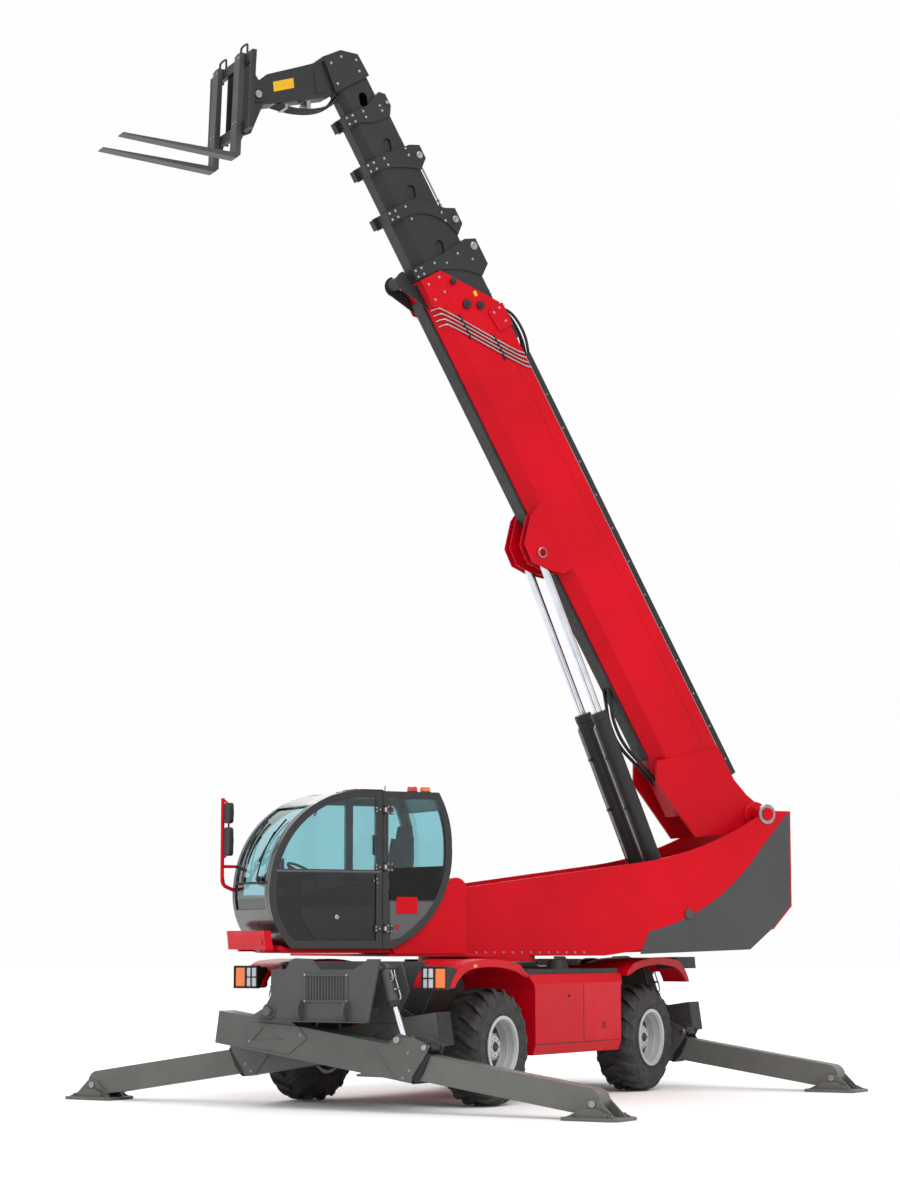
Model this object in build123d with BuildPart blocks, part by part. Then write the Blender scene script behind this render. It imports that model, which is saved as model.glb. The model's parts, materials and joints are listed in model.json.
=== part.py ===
from build123d import *
from math import atan2, cos, degrees, hypot, pi, radians, sin
import os

os.makedirs("parts", exist_ok=True)

# Rotating telehandler with scissor stabilisers, sizes in millimetres.
# Row frame: +X chassis forward, +Y the machine's left, +Z up, ground at Z = 0.

# ---- where the frames stand -------------------------------------------------
slew_axis_x = -202.5            # slew axis from the middle of the whole footprint
slew_axis_y = 0.0
slew_angle = -32.0              # upper structure turned clockwise, seen from above
boom_angle = 60.0               # boom above the horizontal
fork_rise = 2.0                 # fork blades above the horizontal

# ---- wheels and axles ---------------------------------------------------------
wheelbase = 3340.0
track = 2090.0
tyre_radius = 585.0
tyre_width = 450.0
lug_height = 32.0
lug_count = 18                  # per row, two rows
rim_radius = 288.0
rim_wall = 12.0
hub_bore = 45.0
kingpin_y = 880.0
kingpin_radius = 32.0
running_gap = 0.05
knuckle_height = 230.0

# ---- chassis ------------------------------------------------------------------
frame_half_width = 420.0
frame_bottom = 820.0
frame_top = 1360.0
frame_half_length = 2400.0
plate = 25.0
machine_half_width = 1250.0
side_box_half_length = 965.0
side_box_bottom = 475.0
side_box_top = 1295.0
ring_radius = 640.0
ring_bore = 480.0
ring_split = 1420.0             # height of the slewing joint
turret_bottom = 1480.0

# ---- stabilisers --------------------------------------------------------------
outer_arm_x = 3050.0            # plane of the outer arms, front and rear
inner_arm_x = 2620.0            # plane of the inner arms
arm_pivot_y = 500.0
arm_pivot_z = 950.0
arm_slope = 8.5                 # arms below the horizontal at rest
arm_drop = 255.0                # pivot to the centre line of the arm's box
arm_tail = 620.0
arm_reach = 1700.0              # pivot to the end of the arm's box
arm_height = 320.0
arm_width = 270.0
arm_wall = 14.0
doubler = 10.0                  # plates on the arm's sides
arm_pin_reach = 100.0           # pivot pin past the arm's sides
leg_height = 250.0
leg_width = 214.0
leg_start = 1150.0
leg_wall = 16.0
foot_y = 3050.0                 # foot centre from the machine's middle
foot_length = 600.0
foot_width = 460.0
foot_plate = 28.0
pin_radius = 45.0
cylinder_pin_y = 715.0          # upper pin of a stabiliser cylinder
cylinder_pin_z = 1375.0
cylinder_lug_x = 1480.0         # lower pin, along the arm from its pivot
cylinder_lug_z = -38.0
small_pin = 24.0
ram_radius = 55.0               # stabiliser cylinder's barrel
ram_length = 395.0
ram_rod_radius = 28.0
ram_rod_start = 300.0           # inner end of the rod at rest, from the upper pin

# ---- turret -------------------------------------------------------------------
turret_half_width = 500.0
turret_plate = 30.0
turret_front = 380.0
turret_tail = 3770.0
turret_tail_top = 3100.0
boom_pivot_x = -3450.0
boom_pivot_z = 3060.0
boom_pin_radius = 70.0
hood_length = 2100.0
hood_rear = -1300.0
hood_top = 2185.0
hood_wall = 25.0

# ---- cab ----------------------------------------------------------------------
cab_inner_y = 320.0
cab_outer_y = 1250.0
cab_floor = 1560.0
cab_top = 3150.0
cab_front = 2985.0
cab_rear = 950.0
cab_pillar_x = 1720.0
cab_wall = 45.0
door_depth = 50.0
door_gap = 6.0
hinge_out = 20.0                # hinge axis outside the cab's side
hinge_pin = 7.0
hinge_radius = 13.0
glass = 8.0

# ---- boom ---------------------------------------------------------------------
base_height = 800.0
base_width = 480.0
base_wall = 12.0
height_step = 76.0
width_step = 48.0
boom_axis_z = -440.0            # boom's centre line below its pivot, across the boom
base_end = 7100.0               # end of the base's lower edge, from the pivot
stage_tail = 700.0              # where the nested sections start
mouth_plate = 16.0              # thickness of the plates round each mouth
mouth_depth = 140.0
slide_block = 120.0             # length of the sliding blocks' holders
# nested sections: what each shows past the one before, how far its mouth leans forward
# at the top, and the length and rise of the hump there that carries the chain roller
stages = (
    (150.0, 40.0, 450.0, 130.0),
    (680.0, -240.0, 330.0, 115.0),
    (570.0, -20.0, 300.0, 115.0),
    (560.0, 80.0, 280.0, 60.0),
    (400.0, 0.0, 0.0, 0.0),
)
section_wall = 10.0
base_slant = 600.0              # how far the base's mouth leans back above its lip
base_lip = 300.0                # height of the lip
lift_pin_along = 3830.0         # lift cylinders' upper pins, on the boom
lift_pin_across = -965.0
lift_foot_x = -2400.0           # lift cylinders' lower pins, on the turret
lift_foot_z = 1930.0
lift_cylinder_y = 175.0
lift_ear = 15.0                 # thickness of the ears on the boom
lift_ear_gap = 50.0             # from a cylinder's middle plane to its ears
lift_barrel_radius = 92.0
lift_rod_radius = 45.0
lift_barrel_length = 2420.0
lift_rod_length = 2540.0

# ---- head and forks -----------------------------------------------------------
tilt_pivot_x = 2720.0           # in the turret's frame at rest
tilt_pivot_z = 10640.0
fork_spread = 600.0
fork_length = 1250.0
fork_width = 150.0
fork_thickness = 55.0
fork_drop = 760.0               # pivot to the blades' top
fork_face = 330.0               # pivot to the blades' front face
tilt_pin_radius = 50.0
carriage_bar_x = 215.0          # pivot to the carriage's bars
carriage_bar = 50.0


def ground_frame(angle):
    """Frame on the ground under the slew axis, turned by angle."""
    direction = (cos(radians(angle)), sin(radians(angle)), 0)
    return Plane(origin=(slew_axis_x, slew_axis_y, 0), x_dir=direction, z_dir=(0, 0, 1))


def tilted(frame, x, y, z, angle):
    """Frame at a point of another frame, its X raised by angle about -Y."""
    along, up = frame.x_dir, frame.z_dir
    x_dir = along * cos(radians(angle)) + up * sin(radians(angle))
    z_dir = up * cos(radians(angle)) - along * sin(radians(angle))
    return Plane(origin=frame.from_local_coords((x, y, z)), x_dir=x_dir, z_dir=z_dir)


def side(frame, y=0.0):
    """Plane of a side view at y: sketch X, Y are the frame's X, Z; its normal is -Y."""
    return Plane(origin=frame.from_local_coords((0, y, 0)), x_dir=frame.x_dir, z_dir=frame.y_dir * -1)


def front(frame, x=0.0):
    """Plane of a cross-section at x: sketch X, Y are the frame's Y, Z; its normal is +X."""
    return Plane(origin=frame.from_local_coords((x, 0, 0)), x_dir=frame.y_dir, z_dir=frame.x_dir)


def above(frame, z=0.0):
    """Plane of a plan view at height z: sketch X, Y are the frame's X, Y."""
    return Plane(origin=frame.from_local_coords((0, 0, z)), x_dir=frame.x_dir, z_dir=frame.z_dir)


chassis = ground_frame(0)
turret = ground_frame(slew_angle)
boom = tilted(turret, boom_pivot_x, 0, boom_pivot_z, boom_angle)
carriage = tilted(turret, tilt_pivot_x, 0, tilt_pivot_z, fork_rise)

lift_top = turret.to_local_coords(boom.from_local_coords(Vector(lift_pin_along, 0, lift_pin_across)))
lift_dx, lift_dz = lift_foot_x - lift_top.X, lift_foot_z - lift_top.Z
lift_length = hypot(lift_dx, lift_dz)
lift = tilted(turret, lift_top.X, 0, lift_top.Z, degrees(atan2(lift_dz, lift_dx)))

# ================================ chassis ======================================
# stabilisers: name, plane across the machine, side of the foot
stabilisers = (
    ("front_left", outer_arm_x, 1),
    ("front_right", inner_arm_x, -1),
    ("rear_left", -inner_arm_x, 1),
    ("rear_right", -outer_arm_x, -1),
)
wheels = (("front_left", 1, 1), ("front_right", 1, -1), ("rear_left", -1, 1), ("rear_right", -1, -1))
inner_plate_x = frame_half_length - plate
middle_plate_x = (inner_arm_x + outer_arm_x) / 2 - plate / 2
end_plate_x = outer_arm_x + arm_width / 2 + 15
top_box_low = 1100.0

with BuildPart() as chassis_frame:
    with BuildSketch(front(chassis, -frame_half_length)):
        with Locations((0, (frame_bottom + frame_top) / 2)):
            Rectangle(2 * frame_half_width, frame_top - frame_bottom)
            Rectangle(2 * (frame_half_width - plate), frame_top - frame_bottom - 2 * plate,
                      mode=Mode.SUBTRACT)
    extrude(amount=2 * frame_half_length)
    for end in (1, -1):
        # cross plates behind each arm's plane; the middle one leans like the end plate
        for x, shoulder, top in ((inner_plate_x, -880, -790), (middle_plate_x, -650, -490)):
            with BuildSketch(front(chassis, x if end > 0 else -x - plate)):
                with BuildLine():
                    Polyline((end * shoulder, 1150), (-end * 720, 850), (end * 720, 850),
                             (end * 880, 1150), (end * 790, 1435), (end * top, 1435), close=True)
                make_face()
            extrude(amount=plate)
        # box that ties them to the end plate
        with BuildSketch(above(chassis, top_box_low)):
            with Locations((end * (inner_plate_x + end_plate_x) / 2, 0)):
                Rectangle(end_plate_x - inner_plate_x, 1000)
        extrude(amount=frame_top - top_box_low)
    for name, x, foot_side in stabilisers:
        # bores for the arm's pivot pin
        with BuildSketch(front(chassis, x - 260)):
            with Locations((-foot_side * arm_pivot_y, arm_pivot_z)):
                Circle(pin_radius + running_gap)
        extrude(amount=520, mode=Mode.SUBTRACT)
        # stub pin for the cylinder's upper eye, standing on the plate behind it
        root = middle_plate_x + plate if abs(x) == outer_arm_x else inner_plate_x + plate
        reach = 310.0
        with BuildSketch(front(chassis, root if x > 0 else -root - reach)):
            with Locations((foot_side * cylinder_pin_y, cylinder_pin_z)):
                Circle(small_pin)
        extrude(amount=reach)
chassis_frame.part.label = "chassis_frame"
export_step(chassis_frame.part, "parts/chassis_frame.step")

# grey end plates with their grille and tow lugs, the rear one turned by half a turn
grille_slots = 13
lug_thickness = 30.0
with BuildPart() as end_plates:
    with BuildSketch(front(chassis, end_plate_x)):
        with BuildLine():
            Polyline((-645, 850), (-250, 1450), (-200, 1468), (-10, 1462), (30, 1420), (95, 1352),
                     (470, 1357), (610, 1430), (640, 1462), (780, 1462), (650, 850), close=True)
        make_face()
        with Locations((-arm_pivot_y, arm_pivot_z)):
            Circle(pin_radius + running_gap, mode=Mode.SUBTRACT)
        with Locations((165, 1180)):
            with GridLocations(34, 0, grille_slots, 1):
                Rectangle(16, 220, mode=Mode.SUBTRACT)
    extrude(amount=plate)
    # raised frame of the grille
    with BuildSketch(front(chassis, end_plate_x + plate)):
        with Locations((165, 1180)):
            RectangleRounded(510, 280, 12)
            Rectangle(460, 232, mode=Mode.SUBTRACT)
    extrude(amount=10)
    # folded lip along the bottom edge
    with BuildSketch(side(chassis, 645)):
        with Locations((end_plate_x + plate + 15, 856)):
            Rectangle(32, 12)
    extrude(amount=1270)
    # tow lugs: D-shaped plates with their bores across the machine
    reach, low, high = 90, 870, 1055
    for y in (-120, 405):
        face = end_plate_x + plate - 1
        with BuildSketch(side(chassis, y + lug_thickness / 2)):
            with BuildLine():
                Polyline((face, low), (face, high), (face + 0.35 * reach, high))
                ThreePointArc((face + 0.35 * reach, high), (face + reach, (low + high) / 2),
                              (face + 0.35 * reach, low))
                Line((face + 0.35 * reach, low), (face, low))
            make_face()
            with Locations((face + reach / 2, (low + high) / 2)):
                Circle(0.2 * reach, mode=Mode.SUBTRACT)
        extrude(amount=lug_thickness)
    add(end_plates.part.rotate(Axis((slew_axis_x, slew_axis_y, 0), (0, 0, 1)), 180))
end_plates.part.label = "end_plates"
export_step(end_plates.part, "parts/end_plates.step")

# boxes between the wheels, open towards the frame
with BuildPart() as side_boxes:
    with BuildSketch(front(chassis, -1110)):
        with BuildLine():
            Polyline((frame_half_width, side_box_bottom), (1215, side_box_bottom),
                     (machine_half_width, 575), (machine_half_width, 1200), (1205, side_box_top),
                     (frame_half_width, side_box_top), close=True)
        make_face()
    extrude(amount=2220)
    with BuildSketch(front(chassis, plate - side_box_half_length)):
        with BuildLine():
            Polyline((frame_half_width, side_box_bottom + plate), (1195, side_box_bottom + plate),
                     (machine_half_width - plate, 585), (machine_half_width - plate, 1190),
                     (1185, side_box_top - plate), (frame_half_width, side_box_top - plate), close=True)
        make_face()
    extrude(amount=2 * (side_box_half_length - plate), mode=Mode.SUBTRACT)
    # lower ends cut back for the wheels, upper edges left slanting out
    for end in (1, -1):
        with BuildSketch(side(chassis, machine_half_width + 10)):
            with BuildLine():
                Polyline((end * side_box_half_length, 400), (end * side_box_half_length, 1150),
                         (end * 1110, 1400), (end * 1300, 1400), (end * 1300, 400), close=True)
            make_face()
        extrude(amount=machine_half_width, mode=Mode.SUBTRACT)
    mirror(about=side(chassis))
side_boxes.part.label = "side_boxes"
export_step(side_boxes.part, "parts/side_boxes.step")

with BuildPart() as fenders:
    tail = 1125
    for end in (1, -1):
        with BuildSketch(side(chassis, machine_half_width)):
            with BuildLine():
                Polyline((end * tail, 1262), (end * tail, 1300), (end * (tail + 170), 1400))
                ThreePointArc((end * (tail + 170), 1400), (end * 1750, 1452), (end * 2250, 1440))
                ThreePointArc((end * 2250, 1440), (end * 2520, 1365), (end * 2690, 1180))
                Line((end * 2690, 1180), (end * 2640, 1180))
                ThreePointArc((end * 2640, 1180), (end * 2480, 1335), (end * 2240, 1402))
                ThreePointArc((end * 2240, 1402), (end * 1750, 1414), (end * (tail + 190), 1362))
                Line((end * (tail + 190), 1362), (end * tail, 1262))
            make_face()
        extrude(amount=600)
        # rolled outer edge
        with BuildSketch(side(chassis, machine_half_width)):
            with BuildLine():
                Polyline((end * (tail + 30), 1262), (end * (tail + 190), 1363))
                ThreePointArc((end * (tail + 190), 1363), (end * 1750, 1415), (end * 2240, 1403))
                ThreePointArc((end * 2240, 1403), (end * 2480, 1336), (end * 2645, 1190))
                Line((end * 2645, 1190), (end * 2600, 1190))
                ThreePointArc((end * 2600, 1190), (end * 2450, 1300), (end * 2225, 1362))
                ThreePointArc((end * 2225, 1362), (end * 1750, 1376), (end * (tail + 215), 1325))
                Line((end * (tail + 215), 1325), (end * (tail + 30), 1262))
            make_face()
        extrude(amount=35)
        # brackets to the frame
        for x, z in ((tail + 215, 1335), (2100, 1375)):
            with BuildSketch(front(chassis, end * x - 30)):
                with Locations(((frame_half_width + 720) / 2, z)):
                    Rectangle(720 - frame_half_width, 90)
            extrude(amount=60)
    mirror(about=side(chassis))
    # noses leave room for the cross plates, and for the inner arms' cylinders
    for end in (1, -1):
        with BuildSketch(above(chassis, 1150)):
            with Locations((end * 2600, 0)):
                Rectangle(520, 2 * 830)
            with Locations((end * 2650, -end * 800)):
                Rectangle(220, 290)
        extrude(amount=350, mode=Mode.SUBTRACT)
fenders.part.label = "fenders"
export_step(fenders.part, "parts/fenders.step")

with BuildPart() as deck_covers:
    with BuildSketch(above(chassis, side_box_top)):
        with Locations((20, 815)):
            Rectangle(2040, 750)
    extrude(amount=50)
    with BuildSketch(above(chassis, side_box_top + 50)):
        with Locations((-160, 900)):
            Circle(125)
    extrude(amount=95, taper=20)
    mirror(about=side(chassis))
deck_covers.part.label = "deck_covers"
export_step(deck_covers.part, "parts/deck_covers.step")

with BuildPart() as lamps:
    for side_sign in (1, -1):
        # front lamps on the fender noses
        with BuildSketch(front(chassis, 2560)):
            with Locations((side_sign * 1110, 1275)):
                RectangleRounded(270, 220, 40)
        extrude(amount=180)
        # rear lamp bars
        with BuildSketch(side(chassis, side_sign * 1090 + 150)):
            with BuildLine():
                Polyline((-2380, 1380), (-2380, 1456), (-2860, 1460), (-2890, 1330), (-2480, 1330),
                         close=True)
            make_face()
        extrude(amount=280)
    add(fenders.part, mode=Mode.SUBTRACT)
lamps.part.label = "lamps"
export_step(lamps.part, "parts/lamps.step")

with BuildPart() as axles:
    for end in (1, -1):
        x = end * wheelbase / 2
        with BuildSketch(front(chassis, x - 100)):
            with Locations((0, tyre_radius)):
                Rectangle(1400, 200)
        extrude(amount=200)
        with BuildSketch(front(chassis, x - 150)):
            with Locations((120, tyre_radius)):
                Circle(195)
        extrude(amount=300)
        # saddles under the frame
        for y in (-300, 300):
            with BuildSketch(above(chassis, tyre_radius)):
                with Locations((x, y)):
                    Rectangle(260, 120)
            extrude(amount=frame_bottom - tyre_radius)
        # yokes round the kingpins
        for y in (-1, 1):
            for low in (-knuckle_height / 2 - 46, knuckle_height / 2 + 1):
                with BuildSketch(above(chassis, tyre_radius + low)):
                    with Locations((x, y * (kingpin_y - 110))):
                        Rectangle(170, 220)
                    with Locations((x, y * kingpin_y)):
                        Circle(85)
                        Circle(kingpin_radius + running_gap, mode=Mode.SUBTRACT)
                extrude(amount=45)
            with BuildSketch(front(chassis, x - 85)):
                with Locations((y * 700, tyre_radius)):
                    Rectangle(70, knuckle_height + 92)
            extrude(amount=170)
axles.part.label = "axles"
export_step(axles.part, "parts/axles.step")

with BuildPart() as slew_ring:
    with BuildSketch(above(chassis, frame_top)):
        Circle(ring_radius)
        Circle(ring_bore, mode=Mode.SUBTRACT)
    extrude(amount=ring_split - frame_top - 1)
slew_ring.part.label = "slew_ring"
export_step(slew_ring.part, "parts/slew_ring.step")

# ================================ wheels =======================================
tread_radius = tyre_radius - lug_height
for name, end, hand in wheels:
    x = end * wheelbase / 2
    pin = chassis.from_local_coords((x, hand * kingpin_y, tyre_radius))
    wheel = Plane(origin=chassis.from_local_coords((x, hand * track / 2, tyre_radius)),
                  x_dir=(1, 0, 0), z_dir=(0, hand, 0))

    with BuildPart() as knuckle:
        with BuildSketch(above(chassis, tyre_radius - knuckle_height / 2)):
            with Locations((x, hand * kingpin_y)):
                Circle(75)
        extrude(amount=knuckle_height)
        with BuildSketch(above(chassis, tyre_radius - knuckle_height / 2 - 46)):
            with Locations((x, hand * kingpin_y)):
                Circle(kingpin_radius)
        extrude(amount=knuckle_height + 92)
        with BuildSketch(wheel.offset(kingpin_y - track / 2)):
            Circle(108)
        extrude(amount=125)
        with BuildSketch(wheel.offset(kingpin_y - track / 2)):
            Circle(hub_bore - running_gap)
        extrude(amount=270)
    knuckle.part.label = f"knuckle_{name}"
    export_step(knuckle.part, f"parts/knuckle_{name}.step")

    half = tyre_width / 2
    with BuildPart() as rim:
        with BuildSketch(Plane(origin=wheel.origin, x_dir=wheel.z_dir, z_dir=wheel.x_dir)):
            with BuildLine():
                Polyline((-half + 10, rim_radius), (-half + 10, rim_radius + 22),
                         (-half - 2, rim_radius + 22), (-half - 2, rim_radius - rim_wall),
                         (20, rim_radius - rim_wall - 30), (20, 150), (-35, 135), (-35, hub_bore),
                         (110, hub_bore), (110, 0), (130, 0), (130, 105), (100, 135), (45, 150),
                         (45, rim_radius - rim_wall - 30), (half + 2, rim_radius - rim_wall),
                         (half + 2, rim_radius + 22), (half - 10, rim_radius + 22),
                         (half - 10, rim_radius), close=True)
            make_face()
        revolve(axis=Axis(wheel.origin, wheel.z_dir))
    rim.part.label = f"rim_{name}"
    export_step(rim.part, f"parts/rim_{name}.step")

    with BuildPart() as tyre:
        with BuildSketch(Plane(origin=wheel.origin, x_dir=wheel.z_dir, z_dir=wheel.x_dir)):
            with BuildLine():
                Polyline((-half + 10, rim_radius), (-half + 10, rim_radius + 24), (-half, 400),
                         (-half, 480), (-half + 40, tread_radius), (half - 40, tread_radius),
                         (half, 480), (half, 400), (half - 10, rim_radius + 24),
                         (half - 10, rim_radius), close=True)
            make_face()
        revolve(axis=Axis(wheel.origin, wheel.z_dir))
        # two staggered rows of block lugs
        for row, shift in ((1, 0), (-1, 0.5)):
            for index in range(lug_count):
                angle = radians((index + shift) * 360 / lug_count - 90)
                lug_plane = Plane(origin=wheel.origin + wheel.z_dir * row * 100, z_dir=wheel.z_dir,
                                  x_dir=(cos(angle), 0, sin(angle)))
                with BuildSketch(lug_plane):
                    with BuildLine():
                        Polyline((tread_radius - 25, -48), (tyre_radius, -38),
                                 (tyre_radius, 38), (tread_radius - 25, 48), close=True)
                    make_face()
                extrude(amount=85, both=True)
    tyre.part.label = f"tyre_{name}"
    export_step(tyre.part, f"parts/tyre_{name}.step")

# ================================ stabilisers ===================================
for name, x, foot_side in stabilisers:
    direction = Vector(0, foot_side * cos(radians(arm_slope)), -sin(radians(arm_slope)))
    upward = Vector(0, foot_side * sin(radians(arm_slope)), cos(radians(arm_slope)))
    arm_frame = Plane(origin=chassis.from_local_coords((x, -foot_side * arm_pivot_y, arm_pivot_z)),
                      x_dir=direction, z_dir=upward)
    centre = -arm_drop
    arm_top = centre + arm_height / 2

    with BuildPart() as arm:
        with BuildSketch(front(arm_frame, -arm_tail)):
            with Locations((0, centre)):
                Rectangle(arm_width, arm_height)
                Rectangle(arm_width - 2 * arm_wall, arm_height - 2 * arm_wall, mode=Mode.SUBTRACT)
        extrude(amount=arm_tail + arm_reach)
        # ears and cheeks round the pivot
        for y in (arm_width / 2, 26 - arm_width / 2):
            with BuildSketch(side(arm_frame, y)):
                with BuildLine():
                    Polyline((-260, arm_top - arm_wall + 4), (-90, 20), (90, 20),
                             (330, arm_top - arm_wall + 4), close=True)
                make_face()
                Circle(90)
            extrude(amount=26)
        with BuildSketch(side(arm_frame, arm_width / 2 + arm_pin_reach)):
            Circle(pin_radius)
        extrude(amount=arm_width + 2 * arm_pin_reach)
        # six-sided doublers round the pivot, each with a sunk triangle, and the plates
        # that carry the cylinder's pin and the leg's top roller
        for y in (arm_width / 2 + doubler, -arm_width / 2):
            with BuildSketch(side(arm_frame, y)):
                with BuildLine():
                    Polyline((-230, arm_top - 290), (-250, arm_top - 60), (-60, arm_top - 30),
                             (340, arm_top), (460, arm_top - 100), (270, arm_top - 285), close=True)
                make_face()
                with BuildLine():
                    Polyline((-180, arm_top - 225), (-70, arm_top - 75), (190, arm_top - 155),
                             close=True)
                make_face(mode=Mode.SUBTRACT)
                with BuildLine():
                    Polyline((1250, arm_top - 50), (1400, arm_top), (1460, cylinder_lug_z + 18),
                             (1640, cylinder_lug_z + 58), (1850, cylinder_lug_z + 8),
                             (1800, arm_top - 65), (arm_reach, arm_top - 255),
                             (arm_reach - 10, arm_top - 320), (1560, arm_top - 320), close=True)
                make_face()
            extrude(amount=doubler)
        # ears for the cylinder's rod
        for y in (70, -45):
            with BuildSketch(side(arm_frame, y)):
                with BuildLine():
                    Polyline((cylinder_lug_x - 150, arm_top - 5),
                             (cylinder_lug_x - 45, cylinder_lug_z + 50),
                             (cylinder_lug_x + 45, cylinder_lug_z + 50),
                             (cylinder_lug_x + 170, arm_top - 5), close=True)
                make_face()
            extrude(amount=25)
    arm.part.label = f"arm_{name}"
    export_step(arm.part, f"parts/arm_{name}.step")

    foot = Plane(origin=chassis.from_local_coords((x, foot_side * foot_y, 0)), x_dir=(0, foot_side, 0),
                 z_dir=(0, 0, 1))
    foot_pin = arm_frame.to_local_coords(foot.from_local_coords(Vector(0, 0, 150)))
    with BuildPart() as leg:
        with BuildSketch(front(arm_frame, leg_start)):
            with Locations((0, centre)):
                Rectangle(leg_width, leg_height)
        extrude(amount=foot_pin.X - leg_start - 60)
        with BuildSketch(side(arm_frame, leg_width / 2)):
            with Locations((foot_pin.X - 60, centre)):
                Circle(leg_height / 2)
        extrude(amount=leg_width)
        with BuildSketch(front(arm_frame, leg_start - 10)):
            with Locations((0, centre)):
                Rectangle(leg_width - 2 * leg_wall, leg_height - 2 * leg_wall)
        extrude(amount=foot_pin.X - leg_start - 250, mode=Mode.SUBTRACT)
        # foot pad with its two cheeks
        with BuildSketch(above(foot)):
            RectangleRounded(foot_length, foot_width, 60)
        extrude(amount=foot_plate)
        for y in (leg_width / 2 + 22, -leg_width / 2):
            with BuildSketch(side(foot, y)):
                with BuildLine():
                    Polyline((-230, foot_plate - 2), (-60, 190), (60, 190), (230, foot_plate - 2),
                             close=True)
                make_face()
            extrude(amount=22)
    leg.part.label = f"leg_{name}"
    export_step(leg.part, f"parts/leg_{name}.step")

    lug = arm_frame.from_local_coords(Vector(cylinder_lug_x, 0, cylinder_lug_z))
    top = chassis.from_local_coords(Vector(x, foot_side * cylinder_pin_y, cylinder_pin_z))
    ram_reach = (lug - top).length
    ram = Plane(origin=top, x_dir=(lug - top).normalized(), z_dir=arm_frame.y_dir)
    with BuildPart() as barrel:
        with BuildSketch(Plane(origin=top, x_dir=ram.z_dir, z_dir=ram.x_dir).offset(30)):
            Circle(ram_radius)
        extrude(amount=ram_length - 30)
        with BuildSketch(ram):
            Circle(ram_radius - 3)
        extrude(amount=35, both=True)
        with BuildSketch(ram):
            Circle(small_pin + running_gap)
        extrude(amount=80, both=True, mode=Mode.SUBTRACT)
        with BuildSketch(Plane(origin=top, x_dir=ram.z_dir, z_dir=ram.x_dir).offset(62)):
            Circle(ram_rod_radius + 0.5)
        extrude(amount=ram_length, mode=Mode.SUBTRACT)
    barrel.part.label = f"stabiliser_barrel_{name}"
    export_step(barrel.part, f"parts/stabiliser_barrel_{name}.step")

    with BuildPart() as rod:
        with BuildSketch(Plane(origin=top, x_dir=ram.z_dir, z_dir=ram.x_dir).offset(ram_rod_start)):
            Circle(ram_rod_radius)
        extrude(amount=ram_reach - ram_rod_start - 30)
        with BuildSketch(Plane(origin=lug, x_dir=ram.x_dir, z_dir=ram.z_dir)):
            Circle(42)
            Circle(22, mode=Mode.SUBTRACT)
        extrude(amount=32, both=True)
    rod.part.label = f"stabiliser_rod_{name}"
    export_step(rod.part, f"parts/stabiliser_rod_{name}.step")

# ================================ turret =======================================
with BuildPart() as turret_frame:
    # the two main side plates
    with BuildSketch(side(turret, turret_half_width)):
        with BuildLine():
            Line((turret_front, turret_bottom), (turret_front, 2205))
            Line((turret_front, 2205), (-1750, 2490))
            TangentArc((-1750, 2490), (-3450, turret_tail_top), tangent=(-2130, 285))
            Polyline((-3450, turret_tail_top), (-turret_tail, turret_tail_top), (-turret_tail, 2030),
                     (-3520, 1770), (-1310, turret_bottom), (turret_front, turret_bottom))
        make_face()
        with Locations((boom_pivot_x, boom_pivot_z)):
            Circle(110)
            Circle(boom_pin_radius + running_gap, mode=Mode.SUBTRACT)
        with Locations((-2280, 1760)):
            SlotCenterToCenter(70, 90, mode=Mode.SUBTRACT)
    extrude(amount=turret_plate)
    mirror(about=side(turret))
    # floor between the plates
    with BuildSketch(side(turret, turret_half_width - turret_plate)):
        with BuildLine():
            Polyline((turret_front, turret_bottom), (-1310, turret_bottom), (-3520, 1770),
                     (-3520, 1800), (-1310, turret_bottom + plate), (turret_front, turret_bottom + plate),
                     close=True)
        make_face()
        # tail plate
        with Locations((-turret_tail + 15, 2330)):
            Rectangle(30, 600)
    extrude(amount=2 * (turret_half_width - turret_plate))
    # platform under the cab and the engine
    with BuildSketch(above(turret, turret_bottom)):
        with BuildLine():
            Polyline((turret_front, 1200), (1650, 1200), (1650, -1230), (hood_rear, -1230),
                     (hood_rear, -turret_half_width), (turret_front, -turret_half_width), close=True)
        make_face()
    extrude(amount=plate)
    # upper ring of the slewing joint
    with BuildSketch(above(turret, ring_split)):
        Circle(ring_radius - 10)
        Circle(ring_bore, mode=Mode.SUBTRACT)
    extrude(amount=turret_bottom - ring_split)
    # ears for the lift cylinders' feet
    for y in (330, -300):
        with BuildSketch(side(turret, y)):
            with BuildLine():
                Polyline((lift_foot_x - 220, 1600), (lift_foot_x - 90, lift_foot_z + 90),
                         (lift_foot_x + 90, lift_foot_z + 90), (lift_foot_x + 260, 1560), close=True)
            make_face()
        extrude(amount=30)
turret_frame.part.label = "turret_frame"
export_step(turret_frame.part, "parts/turret_frame.step")

with BuildPart() as counterweight:
    with BuildSketch(side(turret, turret_half_width - turret_plate)):
        with BuildLine():
            Polyline((-turret_tail + 30, 2040), (-3520, 1805), (-2900, 1730), (-2900, 1990),
                     (-3050, 2150), (-turret_tail + 30, 2150), close=True)
        make_face()
    extrude(amount=2 * (turret_half_width - turret_plate))
counterweight.part.label = "counterweight"
export_step(counterweight.part, "parts/counterweight.step")

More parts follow.
